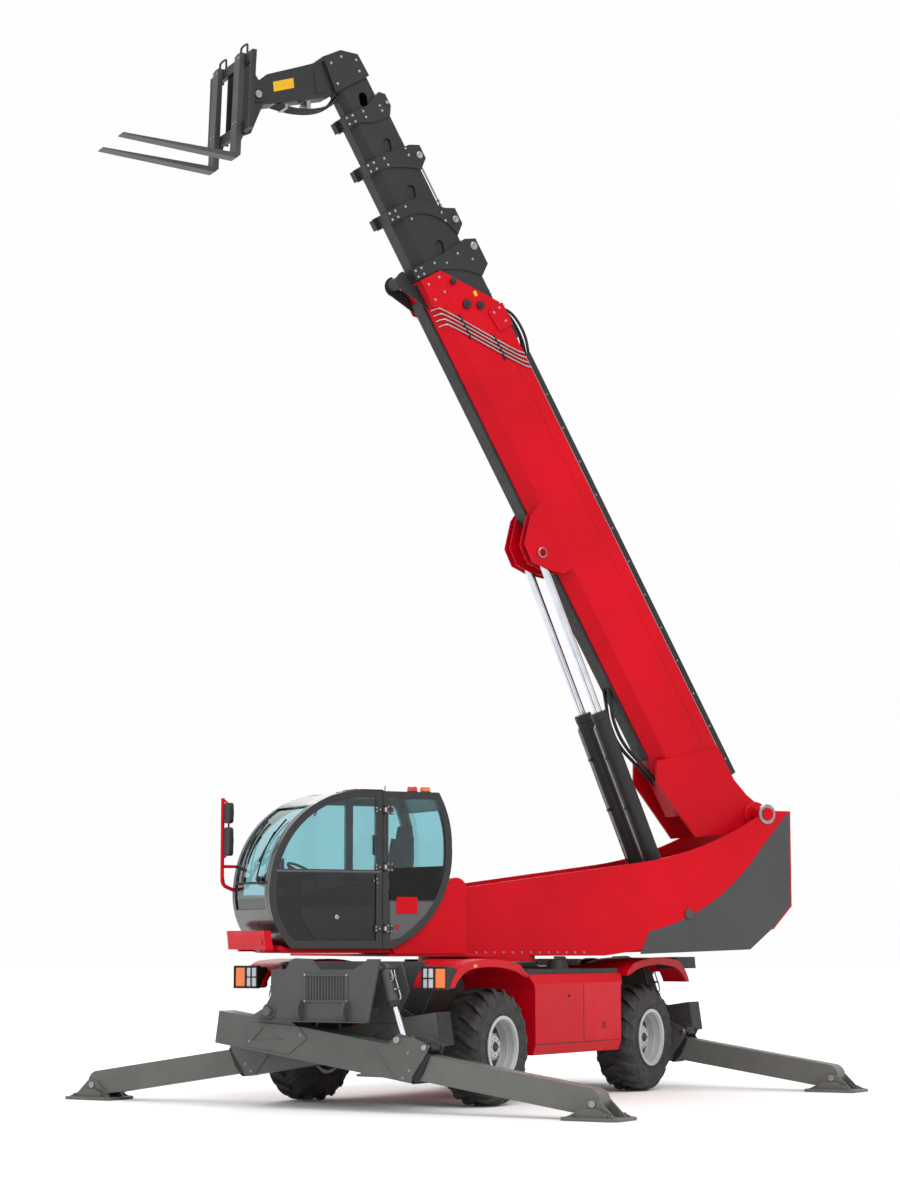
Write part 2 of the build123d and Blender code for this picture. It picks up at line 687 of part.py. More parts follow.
with BuildPart() as engine_hood:
    with BuildSketch(front(turret, hood_rear)):
        with BuildLine():
            Polyline((-510, hood_top), (-1060, hood_top), (-1240, hood_top - 180), (-1250, 1515),
                     (-1250 + hood_wall, 1515), (-1240 + hood_wall, hood_top - 190),
                     (-1050, hood_top - hood_wall), (-510, hood_top - hood_wall), close=True)
        make_face()
    extrude(amount=hood_length)
    for x in (hood_rear, hood_rear + hood_length - hood_wall):
        with BuildSketch(front(turret, x)):
            with BuildLine():
                Polyline((-510, hood_top), (-1060, hood_top), (-1240, hood_top - 180), (-1250, 1515),
                         (-510, 1515), close=True)
            make_face()
            with Locations((-830, 1850)):
                with GridLocations(60, 0, 8, 1):
                    Rectangle(28, 380, mode=Mode.SUBTRACT)
        extrude(amount=hood_wall)
engine_hood.part.label = "engine_hood"
export_step(engine_hood.part, "parts/engine_hood.step")

with BuildPart() as engine_block:
    with BuildSketch(above(turret, turret_bottom + plate)):
        with Locations((-500, -850)):
            Rectangle(1500, 560)
    extrude(amount=560)
engine_block.part.label = "engine_block"
export_step(engine_block.part, "parts/engine_block.step")


# ================================ cab ==========================================
def cab_outline(inset=0.0):
    """The cab's side outline as a sketch, drawn in by inset."""
    with BuildSketch() as outline:
        with BuildLine():
            Line((1100, cab_top), (1950, cab_top))
            ThreePointArc((1950, cab_top), (2675, 2870), (cab_front, 2240))
            ThreePointArc((cab_front, 2240), (2945, 1840), (2750, cab_floor))
            Line((2750, cab_floor), (1640, cab_floor))
            ThreePointArc((1640, cab_floor), (1110, 1980), (cab_rear, 2600))
            ThreePointArc((cab_rear, 2600), (990, 2900), (1100, cab_top))
        make_face()
        if inset:
            offset(amount=-inset, mode=Mode.REPLACE)
    return outline.sketch_local


with BuildPart() as cab_carrier:
    with BuildSketch(side(turret, 1210)):
        with BuildLine():
            Polyline((1590, turret_bottom + plate), (760, turret_bottom + plate), (760, 2170))
            ThreePointArc((760, 2170), (815, 2265), (925, 2275))
            Polyline((925, 2275), (1100, 2100), (1640, 1600), (1590, turret_bottom + plate))
        make_face()
    extrude(amount=700)
    with BuildSketch(side(turret, 1180)):
        with BuildLine():
            Polyline((785, 1400), (785, 2160), (830, 2240), (1700, 2240), (1700, 1400), close=True)
        make_face()
    extrude(amount=640, mode=Mode.SUBTRACT)
    # subframe under the cab
    with BuildSketch(side(turret, cab_outer_y - door_depth - 10)):
        with BuildLine():
            Polyline((1500, turret_bottom + plate), (1640, 1515), (2740, 1515), (2880, 1560),
                     (2840, 1590), (2760, cab_floor + 5), (1500, cab_floor + 5), close=True)
        make_face()
    extrude(amount=cab_outer_y - cab_inner_y - door_depth - 60)
    # bumper ahead of the cab, on two brackets
    with BuildSketch(side(turret, cab_outer_y + 15)):
        with BuildLine():
            Polyline((2950, 1550), (2985, 1738), (3055, 1738), (3035, 1550), close=True)
        make_face()
    extrude(amount=cab_outer_y - cab_inner_y + 15)
    with BuildSketch(above(turret, 1530)):
        with Locations((2860, cab_inner_y + 130), (2860, cab_outer_y - 180)):
            Rectangle(230, 60)
    extrude(amount=60)
    with BuildSketch(side(turret, cab_outer_y + 10)):
        add(cab_outline())
    extrude(amount=cab_outer_y - cab_inner_y + 20, mode=Mode.SUBTRACT)
cab_carrier.part.label = "cab_carrier"
export_step(cab_carrier.part, "parts/cab_carrier.step")

hinge_heights = (1760, 2380, 2960)
with BuildPart() as cab_shell:
    with BuildSketch(side(turret, cab_outer_y)):
        add(cab_outline())
    extrude(amount=cab_outer_y - cab_inner_y)
    with BuildSketch(side(turret, cab_outer_y - cab_wall)):
        add(cab_outline(cab_wall))
    extrude(amount=cab_outer_y - cab_inner_y - 2 * cab_wall, mode=Mode.SUBTRACT)
    # room for the door, ahead of the pillar
    with BuildSketch(side(turret, cab_outer_y + 5)):
        with Locations((cab_pillar_x + 20 + 900, 2400)):
            Rectangle(1800, 2000)
    extrude(amount=door_depth + door_gap + 5, mode=Mode.SUBTRACT)
    # side windows
    with BuildSketch(side(turret, cab_outer_y + 5)):
        add(cab_outline(75))
        with Locations((cab_pillar_x + 960, 2400)):
            Rectangle(2000, 2400, mode=Mode.SUBTRACT)
        with Locations((1700, 1050)):
            Rectangle(3000, 2000, mode=Mode.SUBTRACT)
    extrude(amount=cab_wall + 10, mode=Mode.SUBTRACT)
    with BuildSketch(side(turret, cab_inner_y + cab_wall + 5)):
        add(cab_outline(110))
        with Locations((1700, 1050)):
            Rectangle(3000, 2100, mode=Mode.SUBTRACT)
        with Locations((1700, 2600)):
            Rectangle(80, 2000, mode=Mode.SUBTRACT)
    extrude(amount=cab_wall + 10, mode=Mode.SUBTRACT)
    # windscreen, roof and rear windows through the shell
    with BuildSketch(side(turret, cab_outer_y - door_depth - 65)):
        with Locations((2750, 2470)):
            Rectangle(800, 1040)
        with Locations((2000, 3130)):
            Rectangle(420, 120)
        with Locations((960, 2660)):
            Rectangle(200, 640)
    extrude(amount=cab_outer_y - cab_inner_y - door_depth - 130, mode=Mode.SUBTRACT)
    # hinge leaves on the pillar, with their pins
    for z in hinge_heights:
        with BuildSketch(side(turret, cab_outer_y + 6)):
            with Locations((cab_pillar_x - 55, z)):
                Rectangle(80, 92)
        extrude(amount=7)
        for low in (z - 46, z + 28):
            with BuildSketch(above(turret, low)):
                with Locations((cab_pillar_x, cab_outer_y + hinge_out)):
                    Circle(hinge_radius)
                with Locations((cab_pillar_x - 14, cab_outer_y + 8)):
                    Rectangle(28, 14)
            extrude(amount=18)
        with BuildSketch(above(turret, z - 46)):
            with Locations((cab_pillar_x, cab_outer_y + hinge_out)):
                Circle(hinge_pin)
        extrude(amount=92)
cab_shell.part.label = "cab_shell"
export_step(cab_shell.part, "parts/cab_shell.step")

with BuildPart() as cab_glass:
    # curved panes: a thin skin kept only in the windows
    with BuildSketch(side(turret, cab_outer_y - door_depth - 65)):
        add(cab_outline(15))
    extrude(amount=cab_outer_y - cab_inner_y - door_depth - 130)
    with BuildSketch(side(turret, cab_outer_y)):
        add(cab_outline(15 + glass))
    extrude(amount=cab_outer_y - cab_inner_y, mode=Mode.SUBTRACT)
    with BuildSketch(side(turret, cab_outer_y)):
        with Locations((2750, 2470)):
            Rectangle(800, 1040)
        with Locations((2000, 3130)):
            Rectangle(420, 120)
        with Locations((960, 2660)):
            Rectangle(200, 640)
    extrude(amount=cab_outer_y - cab_inner_y, mode=Mode.INTERSECT)
    # flat side panes
    with BuildSketch(side(turret, cab_outer_y - 12)):
        add(cab_outline(75))
        with Locations((cab_pillar_x + 960, 2400)):
            Rectangle(2000, 2400, mode=Mode.SUBTRACT)
        with Locations((1700, 1050)):
            Rectangle(3000, 2000, mode=Mode.SUBTRACT)
    extrude(amount=glass)
    with BuildSketch(side(turret, cab_inner_y + 28)):
        add(cab_outline(110))
        with Locations((1700, 1050)):
            Rectangle(3000, 2100, mode=Mode.SUBTRACT)
        with Locations((1700, 2600)):
            Rectangle(80, 2000, mode=Mode.SUBTRACT)
    extrude(amount=glass)
cab_glass.part.label = "cab_glass"
export_step(cab_glass.part, "parts/cab_glass.step")

with BuildPart() as cab_interior:
    seat_y = (cab_inner_y + cab_outer_y) / 2
    floor_top = cab_floor + cab_wall
    with BuildSketch(side(turret, seat_y + 240)):
        with BuildLine():
            Polyline((1330, 2080), (1820, 2080), (1850, 2190), (1430, 2190), (1330, 2800),
                     (1210, 2790), (1290, 2080), close=True)
        make_face()
    extrude(amount=480)
    with BuildSketch(above(turret, floor_top)):
        with Locations((1650, seat_y)):
            Rectangle(360, 360)
    extrude(amount=2080 - floor_top)
    # side consoles with armrests
    with BuildSketch(side(turret, cab_inner_y + cab_wall + 150)):
        with BuildLine():
            Polyline((1500, floor_top), (2250, floor_top), (2300, 2150), (1480, 2320), close=True)
        make_face()
    extrude(amount=149)
    # steering column, wheel and dashboard
    with BuildSketch(side(turret, seat_y + 130)):
        with BuildLine():
            Polyline((2480, floor_top), (2680, floor_top), (2560, 2230), (2470, 2230), close=True)
        make_face()
    extrude(amount=260)
    wheel_plane = Plane(origin=turret.from_local_coords((2420, seat_y, 2330)), x_dir=turret.y_dir,
                        z_dir=(turret.x_dir * -0.5 + turret.z_dir * 0.866))
    with BuildSketch(wheel_plane):
        Circle(190)
        Circle(160, mode=Mode.SUBTRACT)
        Rectangle(340, 30)
        Circle(45)
    extrude(amount=25)
    with BuildSketch(wheel_plane.offset(-170)):
        Circle(35)
    extrude(amount=175)
    # all inside the shell
    with BuildSketch(side(turret, cab_outer_y - cab_wall)):
        add(cab_outline(cab_wall))
    extrude(amount=cab_outer_y - cab_inner_y - 2 * cab_wall, mode=Mode.INTERSECT)
cab_interior.part.label = "cab_interior"
export_step(cab_interior.part, "parts/cab_interior.step")

belt = 2330.0
with BuildPart() as door_frame:
    with BuildSketch(side(turret, cab_outer_y)):
        add(cab_outline())
        with Locations((cab_pillar_x + 26 - 1000, 2400)):
            Rectangle(2000, 2400, mode=Mode.SUBTRACT)
    extrude(amount=door_depth)
    for low, high in ((cab_floor - 50, belt - 20), (belt + 20, cab_top + 50)):
        with BuildSketch(side(turret, cab_outer_y + 5)):
            add(cab_outline(75))
            with Locations((cab_pillar_x + 96 - 1000, 2400)):
                Rectangle(2000, 2400, mode=Mode.SUBTRACT)
            with Locations((1700, low - 1000), (1700, high + 1000)):
                Rectangle(3000, 2000, mode=Mode.SUBTRACT)
        extrude(amount=door_depth + 10, mode=Mode.SUBTRACT)
    # hinge straps
    for z in hinge_heights:
        with BuildSketch(side(turret, cab_outer_y + 6)):
            with Locations((cab_pillar_x + 70, z)):
                Rectangle(90, 60)
        extrude(amount=7)
        with BuildSketch(above(turret, z - 27)):
            with Locations((cab_pillar_x, cab_outer_y + hinge_out)):
                Circle(hinge_radius)
            with Locations((cab_pillar_x + 15, cab_outer_y + 8)):
                Rectangle(30, 14)
            with Locations((cab_pillar_x, cab_outer_y + hinge_out)):
                Circle(hinge_pin + running_gap, mode=Mode.SUBTRACT)
        extrude(amount=54)
door_frame.part.label = "door_frame"
export_step(door_frame.part, "parts/door_frame.step")

with BuildPart() as door_glass:
    for low, high in ((cab_floor - 50, belt - 20), (belt + 20, cab_top + 50)):
        with BuildSketch(side(turret, cab_outer_y - 15)):
            add(cab_outline(75))
            with Locations((cab_pillar_x + 96 - 1000, 2400)):
                Rectangle(2000, 2400, mode=Mode.SUBTRACT)
            with Locations((1700, low - 1000), (1700, high + 1000)):
                Rectangle(3000, 2000, mode=Mode.SUBTRACT)
        extrude(amount=glass)
door_glass.part.label = "door_glass"
export_step(door_glass.part, "parts/door_glass.step")

mirror_arm_y = cab_inner_y + 20
with BuildPart() as mirrors:
    # bent arm and its upper stay
    with BuildLine(side(turret, mirror_arm_y)):
        FilletPolyline((2930, 2130), (3100, 2190), (3120, 2300), (3120, 3085), radius=50)
    with BuildSketch(Plane(origin=turret.from_local_coords((2930, mirror_arm_y, 2130)),
                           x_dir=turret.y_dir, z_dir=(turret.x_dir * 170 + turret.z_dir * 60))):
        Circle(17)
    sweep()
    with BuildSketch(front(turret, 2900)):
        with Locations((mirror_arm_y, 2390)):
            Circle(15)
    extrude(amount=220)
    # two mirror heads, each on a short stem
    for z, height in ((2930, 210), (2640, 290)):
        with BuildSketch(front(turret, 3075)):
            with Locations((mirror_arm_y + 105, z)):
                RectangleRounded(150, height, 45)
        extrude(amount=45)
        with BuildSketch(side(turret, mirror_arm_y + 60)):
            with Locations((3105, z)):
                Circle(11)
        extrude(amount=60)
    with BuildSketch(side(turret, cab_outer_y)):
        add(cab_outline())
    extrude(amount=cab_outer_y - cab_inner_y, mode=Mode.SUBTRACT)
mirrors.part.label = "mirrors"
export_step(mirrors.part, "parts/mirrors.step")

with BuildPart() as beacons:
    with BuildSketch(above(turret, cab_top)):
        with Locations((1330, cab_outer_y - 160), (1180, cab_outer_y - 160)):
            Circle(62)
    extrude(amount=70, taper=6)
beacons.part.label = "beacons"
export_step(beacons.part, "parts/beacons.step")


# ================================ boom =========================================
def section_profile(height, width):
    """Cross-section of a boom section: flat top and sides, bevelled lower corners."""
    bevel = 0.18 * height
    with BuildSketch() as profile:
        with BuildLine():
            Polyline((-width / 2, height / 2), (width / 2, height / 2), (width / 2, bevel - height / 2),
                     (width / 4, -height / 2), (-width / 4, -height / 2),
                     (-width / 2, bevel - height / 2), close=True)
        make_face()
    return profile.sketch_local


def mouth_outline(end, lean, hump, rise, height):
    """Side view of the plates round a section's mouth, with their hump at the top."""
    low, high = -height / 2 - mouth_plate, height / 2
    tip = end + lean
    with BuildSketch() as outline:
        with BuildLine():
            Polyline((end - mouth_depth, -120), (end - mouth_depth, low), (end, low), (end, 40),
                     (tip, high), (tip - 50, high + rise), (tip - hump + 90, high + rise),
                     (tip - hump, high))
            ThreePointArc((tip - hump, high), (end - mouth_depth - 60, 60), (end - mouth_depth, -120))
        make_face()
    return outline.sketch_local


axis = Plane(origin=boom.from_local_coords((0, 0, boom_axis_z)), x_dir=boom.x_dir, z_dir=boom.z_dir)

with BuildPart() as boom_base:
    with BuildSketch(front(axis, 450)):
        add(section_profile(base_height, base_width))
    extrude(amount=base_end - 450)
    # mouth: a square lip below, leaning back above it
    with BuildSketch(side(axis, base_width)):
        with BuildLine():
            Polyline((base_end, base_lip - base_height / 2), (base_end - base_slant, base_height / 2),
                     (base_end - base_slant, base_height), (base_end + 200, base_height),
                     (base_end + 200, base_lip - base_height / 2), close=True)
        make_face()
    extrude(amount=2 * base_width, mode=Mode.SUBTRACT)
    # pads that hold the sliding blocks, below and above the mouth
    for y in (base_width / 2 + mouth_plate, -base_width / 2):
        with BuildSketch(side(axis, y)):
            with BuildLine():
                Polyline((base_end - 320, -base_height / 2 + 10), (base_end, -base_height / 2 + 10),
                         (base_end, base_lip - base_height / 2 - 20),
                         (base_end - 70, base_lip - base_height / 2), (base_end - 320, -150),
                         (base_end - 400, -300), close=True)
            make_face()
            with BuildLine():
                Polyline((base_end - base_slant - 20, base_height / 2 + 25),
                         (base_end - base_slant - 20, base_height / 2 - 150),
                         (base_end - base_slant - 60, base_height / 2 - 190),
                         (base_end - base_slant - 290, base_height / 2 - 170),
                         (base_end - base_slant - 290, base_height / 2 + 25), close=True)
            make_face()
        extrude(amount=mouth_plate)
    # ears for the lift cylinders, under the lower corners
    for y in (base_width / 2, lift_cylinder_y - lift_ear_gap):
        for high in (y, lift_ear - y):
            with BuildSketch(side(boom, high)):
                with BuildLine():
                    Polyline((4330, -700), (4250, -880), (4010, -1110), (3800, -1125), (3650, -1010),
                             (3500, -830), (3500, -700), close=True)
                make_face()
            extrude(amount=lift_ear)
    with BuildSketch(front(axis, 470)):
        add(section_profile(base_height - 2 * base_wall, base_width - 2 * base_wall))
    extrude(amount=base_end, mode=Mode.SUBTRACT)
    with BuildSketch(side(boom, base_width / 2 + 20)):
        with Locations((lift_pin_along, lift_pin_across)):
            Circle(45)
    extrude(amount=base_width + 40)
    # cheeks of the foot, its pivot tube and pin
    for high in (base_width / 2 + 20, -base_width / 2 + 12):
        with BuildSketch(side(boom, high)):
            with BuildLine():
                Polyline((900, -40), (480, -40), (250, 20), (90, 95), (-110, 70), (-120, -90),
                         (-60, -330), (170, -830), (780, -930), (950, -960), (1150, -840), close=True)
            make_face()
        extrude(amount=32)
    with BuildSketch(side(boom, base_width / 2)):
        Circle(105)
    extrude(amount=base_width)
    with BuildSketch(side(boom, turret_half_width + 30)):
        Circle(boom_pin_radius)
    extrude(amount=2 * turret_half_width + 60)
boom_base.part.label = "boom_base"
export_step(boom_base.part, "parts/boom_base.step")

with BuildPart() as boom_trays:
    with BuildSketch(front(axis, 520)):
        with Locations((0, base_height / 2 + 55)):
            Rectangle(360, 110)
            Rectangle(340, 90, mode=Mode.SUBTRACT)
    extrude(amount=5320)
    # hose roller on two plates under the lip
    for y in (150, -135):
        with BuildSketch(side(axis, y)):
            with BuildLine():
                Polyline((base_end - 330, -base_height / 2), (base_end - 30, -base_height / 2),
                         (base_end - 20, -base_height / 2 - 50), (base_end + 170, -base_height / 2 - 70))
                ThreePointArc((base_end + 170, -base_height / 2 - 70),
                              (base_end + 130, -base_height / 2 - 190),
                              (base_end - 20, -base_height / 2 - 180))
                Line((base_end - 20, -base_height / 2 - 180), (base_end - 330, -base_height / 2))
            make_face()
        extrude(amount=15)
    with BuildSketch(side(axis, 135)):
        with Locations((base_end + 80, -base_height / 2 - 115)):
            Circle(70)
    extrude(amount=270)
    # hose channel under the base, between the inner ears
    with BuildSketch(front(axis, 1180)):
        with Locations((0, -base_height / 2 - 15)):
            Rectangle(2 * (lift_cylinder_y - lift_ear_gap - lift_ear) - 10, 30)
    extrude(amount=base_end - 1180 - 200)
boom_trays.part.label = "boom_trays"
export_step(boom_trays.part, "parts/boom_trays.step")

end = base_end
for number, (shows, lean, hump, rise) in enumerate(stages, start=2):
    nesting = number - 1
    height, width = base_height - nesting * height_step, base_width - nesting * width_step
    window = end + 75
    end = end + shows
    last = nesting == len(stages)
    with BuildPart() as section:
        with BuildSketch(front(axis, stage_tail)):
            add(section_profile(height, width))
        extrude(amount=end - stage_tail)
        if not last:
            # plates round the mouth
            with BuildSketch(side(axis, width / 2 + mouth_plate)):
                add(mouth_outline(end, lean, hump, rise, height))
            extrude(amount=width + 2 * mouth_plate)
            with BuildSketch(side(axis, width / 2 - section_wall)):
                with Locations((end - mouth_depth, height / 2 + rise)):
                    Rectangle(4 * hump, 2 * rise)
            extrude(amount=width - 2 * section_wall, mode=Mode.SUBTRACT)
            # what leans back is open above
            with BuildSketch(side(axis, width)):
                with BuildLine():
                    Polyline((end, 40), (end + lean, height / 2), (end + lean, height), (end + 200, height),
                             (end + 200, 40), close=True)
                make_face()
            extrude(amount=2 * width, mode=Mode.SUBTRACT)
        with BuildSketch(front(axis, stage_tail - 10)):
            add(section_profile(height - 2 * section_wall, width - 2 * section_wall))
        extrude(amount=end - stage_tail + 200, mode=Mode.SUBTRACT)
        if number > 2:
            # windows in both sides, just past the mouth of the section before
            with BuildSketch(side(axis, width)):
                with Locations((window, 50)):
                    SlotCenterToCenter(65, 100, rotation=20)
            extrude(amount=2 * width, mode=Mode.SUBTRACT)
        if not last:
            # chain roller between the humps
            with BuildSketch(side(axis, width / 2)):
                with Locations((end + lean - hump / 2, height / 2 + rise / 2)):
                    Circle(0.45 * rise)
            extrude(amount=width)
            # holders of the sliding blocks, under the lower corners
            for y in (width / 2 + mouth_plate + 14, mouth_plate + 60 - width / 2):
                with BuildSketch(side(axis, y)):
                    with Locations((end - 10 - slide_block / 2, -height / 2 + 15)):
                        Rectangle(slide_block, 150)
                extrude(amount=mouth_plate + 74)
            with BuildSketch(front(axis, end - 160)):
                add(section_profile(height - 2 * section_wall, width - 2 * section_wall))
            extrude(amount=300, mode=Mode.SUBTRACT)
        else:
            # head and gooseneck
            with BuildSketch(side(turret, 150)):
                with BuildLine():
                    Polyline((1400, 11050), (1540, 11270), (1750, 11285), (1960, 11180), (1800, 10800),
                             close=True)
                make_face()
            extrude(amount=300)
            with BuildSketch(side(turret, 105)):
                with BuildLine():
                    Polyline((1780, 11210), (2160, 11060), (2600, 10895))
                    Polyline((2600, 10895), (2780, 10740), (2825, 10640), (2780, 10560), (2600, 10560))
                    Polyline((2600, 10560), (1870, 10750), (1720, 10870), (1780, 11210))
                make_face()
            extrude(amount=210)
            with BuildSketch(side(turret, 160)):
                with Locations((tilt_pivot_x, tilt_pivot_z)):
                    Circle(tilt_pin_radius)
            extrude(amount=320)
    label = "boom_head" if last else f"boom_section_{number}"
    section.part.label = label
    export_step(section.part, f"parts/{label}.step")

with BuildPart() as fork_carriage:
    # ears round the neck
    for high in (140, -110):
        with BuildSketch(side(carriage, high)):
            with BuildLine():
                Polyline((-80, 60), (120, 330), (240, 330), (240, -530), (60, -440), (-80, -60),
                         close=True)
            make_face()
            Circle(95)
            Circle(tilt_pin_radius + running_gap, mode=Mode.SUBTRACT)
        extrude(amount=30)
    # cross bars and uprights
    for z in (275, -470):
        with BuildSketch(front(carriage, carriage_bar_x)):
            with Locations((0, z)):
                Rectangle(1160, 110)
        extrude(amount=carriage_bar)
    for y in (-550, 550):
        with BuildSketch(front(carriage, carriage_bar_x)):
            with Locations((y, -97)):
                Rectangle(50, 700)
        extrude(amount=carriage_bar)
fork_carriage.part.label = "fork_carriage"
export_step(fork_carriage.part, "parts/fork_carriage.step")

with BuildPart() as forks:
    back = carriage_bar_x + carriage_bar
    for y in (-fork_spread / 2, fork_spread / 2):
        with BuildSketch(side(carriage, y + fork_width / 2)):
            with BuildLine():
                Polyline((back, 330), (back, 40 - fork_drop - fork_thickness),
                         (back + 40, -fork_drop - fork_thickness),
                         (fork_face + fork_length, -fork_drop - 12),
                         (fork_face + fork_length, -fork_drop), (fork_face, -fork_drop),
                         (fork_face - 10, 330), close=True)
            make_face()
        extrude(amount=fork_width)
forks.part.label = "forks"
export_step(forks.part, "parts/forks.step")

# ================================ lift cylinders ===============================
with BuildPart() as lift_rods:
    for y in (lift_cylinder_y, -lift_cylinder_y):
        with BuildSketch(side(lift, y + 46)):
            Circle(85)
            Circle(45 + running_gap, mode=Mode.SUBTRACT)
        extrude(amount=92)
        with BuildSketch(front(lift, 70)):
            with Locations((y, 0)):
                Circle(lift_rod_radius)
        extrude(amount=lift_rod_length - 70)
lift_rods.part.label = "lift_rods"
export_step(lift_rods.part, "parts/lift_rods.step")

with BuildPart() as lift_barrels:
    for y in (lift_cylinder_y, -lift_cylinder_y):
        with BuildSketch(front(lift, lift_length - lift_barrel_length)):
            with Locations((y, 0)):
                Circle(lift_barrel_radius)
        extrude(amount=lift_barrel_length - 60)
        with BuildSketch(side(lift, y + 50)):
            with Locations((lift_length, 0)):
                Circle(88)
        extrude(amount=100)
        with BuildSketch(side(lift, y + 60)):
            with Locations((lift_length, 0)):
                Circle(45)
        extrude(amount=120, mode=Mode.SUBTRACT)
        with BuildSketch(front(lift, lift_length - lift_barrel_length - 10)):
            with Locations((y, 0)):
                Circle(lift_rod_radius + 0.6)
        extrude(amount=lift_barrel_length + 10 - 130, mode=Mode.SUBTRACT)
lift_barrels.part.label = "lift_barrels"
export_step(lift_barrels.part, "parts/lift_barrels.step")
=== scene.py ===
import json
from math import cos, pi, radians, sin, tau

import bmesh
import bpy
from mathutils import Matrix, Vector


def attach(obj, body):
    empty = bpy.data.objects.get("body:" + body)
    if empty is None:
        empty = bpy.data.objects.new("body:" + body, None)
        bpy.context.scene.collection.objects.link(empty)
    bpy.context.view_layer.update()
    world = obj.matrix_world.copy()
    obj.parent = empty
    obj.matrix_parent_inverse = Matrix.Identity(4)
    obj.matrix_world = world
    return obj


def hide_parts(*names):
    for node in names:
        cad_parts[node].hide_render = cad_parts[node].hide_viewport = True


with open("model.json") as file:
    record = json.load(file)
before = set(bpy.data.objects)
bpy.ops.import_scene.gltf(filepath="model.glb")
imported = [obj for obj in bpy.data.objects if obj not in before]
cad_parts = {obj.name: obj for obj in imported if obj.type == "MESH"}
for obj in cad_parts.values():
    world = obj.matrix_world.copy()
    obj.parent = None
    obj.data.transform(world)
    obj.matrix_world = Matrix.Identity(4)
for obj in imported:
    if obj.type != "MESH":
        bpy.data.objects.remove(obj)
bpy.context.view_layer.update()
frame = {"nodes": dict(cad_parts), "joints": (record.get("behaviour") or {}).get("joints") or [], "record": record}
scene = bpy.context.scene
nodes = frame["nodes"]
joints = {joint["name"]: joint for joint in frame["joints"]}

# ==== frames ====
# Each frame is a matrix: X forward or along, Y left, Z up, in metres.
UP = Vector((0, 0, 1))


def make_frame(origin, x_axis, y_axis):
    """Matrix of a frame with the given origin, X and Y."""
    x_axis, y_axis = Vector(x_axis).normalized(), Vector(y_axis).normalized()
    rotation = Matrix((x_axis, y_axis, x_axis.cross(y_axis))).transposed()
    return Matrix.Translation(Vector(origin)) @ rotation.to_4x4()


slew = Vector(joints["slew"]["pos_m"])
slew_axis = Vector((slew.x, slew.y, 0))
left = -Vector(joints["boom_lift"]["axis"])
chassis = Matrix.Translation(slew_axis)
turret = make_frame(slew_axis, left.cross(UP), left)
boom = make_frame(joints["boom_lift"]["pos_m"], joints["extend_2"]["axis"], left)
carriage = make_frame(joints["fork_tilt"]["pos_m"], left.cross(Vector(frame["record"]["mounts"][0]["axis"])), left)
lift = make_frame(joints["lift_rod_swing"]["pos_m"], joints["lift_stroke"]["axis"], left)

# Each "on" is a pair: the frame that a piece is drawn in, and the body that it rides on.
on_chassis = (chassis, "chassis")
on_turret = (turret, "turret")
on_door = (turret, "cab_door")
on_hood = (turret, "hood")
on_neck = (turret, "section_6")
on_boom = (boom, "boom")
on_carriage = (carriage, "carriage")
on_barrels = (lift, "lift_barrel_pair")
SIDES = (("left", 1), ("right", -1))


# ==== mesh helpers ====
def link(name, data):
    """Puts a mesh, curve, camera or light into the scene."""
    made = bpy.data.objects.new(name, data)
    scene.collection.objects.link(made)
    return made


def finish_piece(name, data, material, body):
    """Links a mesh or curve as a piece that rides on a body."""
    piece = link(name, data)
    data.materials.append(material)
    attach(piece, body)
    return piece


def smooth(piece):
    """Shades a piece smoothly."""
    for face in piece.data.polygons:
        face.use_smooth = True
    return piece


def to_mesh(name, bm):
    """Turns a bmesh into a mesh."""
    mesh = bpy.data.meshes.new(name)
    bm.to_mesh(mesh)
    bm.free()
    return mesh


def from_bmesh(name, bm, on, material):
    """Turns a bmesh drawn in a frame into a piece."""
    place, body = on
    bmesh.ops.transform(bm, matrix=place, verts=bm.verts)
    bmesh.ops.recalc_face_normals(bm, faces=bm.faces)
    return finish_piece(name, to_mesh(name, bm), material, body)


def bevel_edges(bm, edges, width):
    """Rounds edges in two steps."""
    return bmesh.ops.bevel(bm, geom=list(edges), offset=width, segments=2, profile=0.6, affect="EDGES")


def add_block(bm, centre, size, bevel):
    """Adds a box with bevelled edges to a bmesh."""
    made = bmesh.ops.create_cube(bm, size=1.0)
    bmesh.ops.scale(bm, vec=Vector(size), verts=made["verts"])
    if bevel:
        made = bevel_edges(bm, {edge for vert in made["verts"] for edge in vert.link_edges}, bevel)
    bmesh.ops.transform(bm, matrix=Matrix.Translation(Vector(centre)), verts=made["verts"])


def add_rod(bm, start, end, radius, end_radius=None, sides=24):
    """Adds a capped round bar between two points to a bmesh."""
    start, end = Vector(start), Vector(end)
    direction = end - start
    matrix = Matrix.Translation((start + end) / 2) @ direction.to_track_quat("Z", "Y").to_matrix().to_4x4()
    bmesh.ops.create_cone(bm, cap_ends=True, segments=sides, radius1=radius,
                          radius2=radius if end_radius is None else end_radius,
                          depth=direction.length, matrix=matrix)


def add_ring(bm, centre, axis, profile, sides):
    """Adds a closed turned ring: profile is a loop of (radius, distance along the axis)."""
    matrix = Matrix.Translation(Vector(centre)) @ Vector(axis).to_track_quat("Z", "Y").to_matrix().to_4x4()
    loops = []
    for index in range(sides):
        angle = tau * index / sides
        loops.append([bm.verts.new(matrix @ Vector((r * cos(angle), r * sin(angle), h))) for r, h in profile])
    for index in range(sides):
        here, there = loops[index], loops[(index + 1) % sides]
        for j in range(len(profile)):
            k = (j + 1) % len(profile)
            bm.faces.new((here[j], there[j], there[k], here[k]))


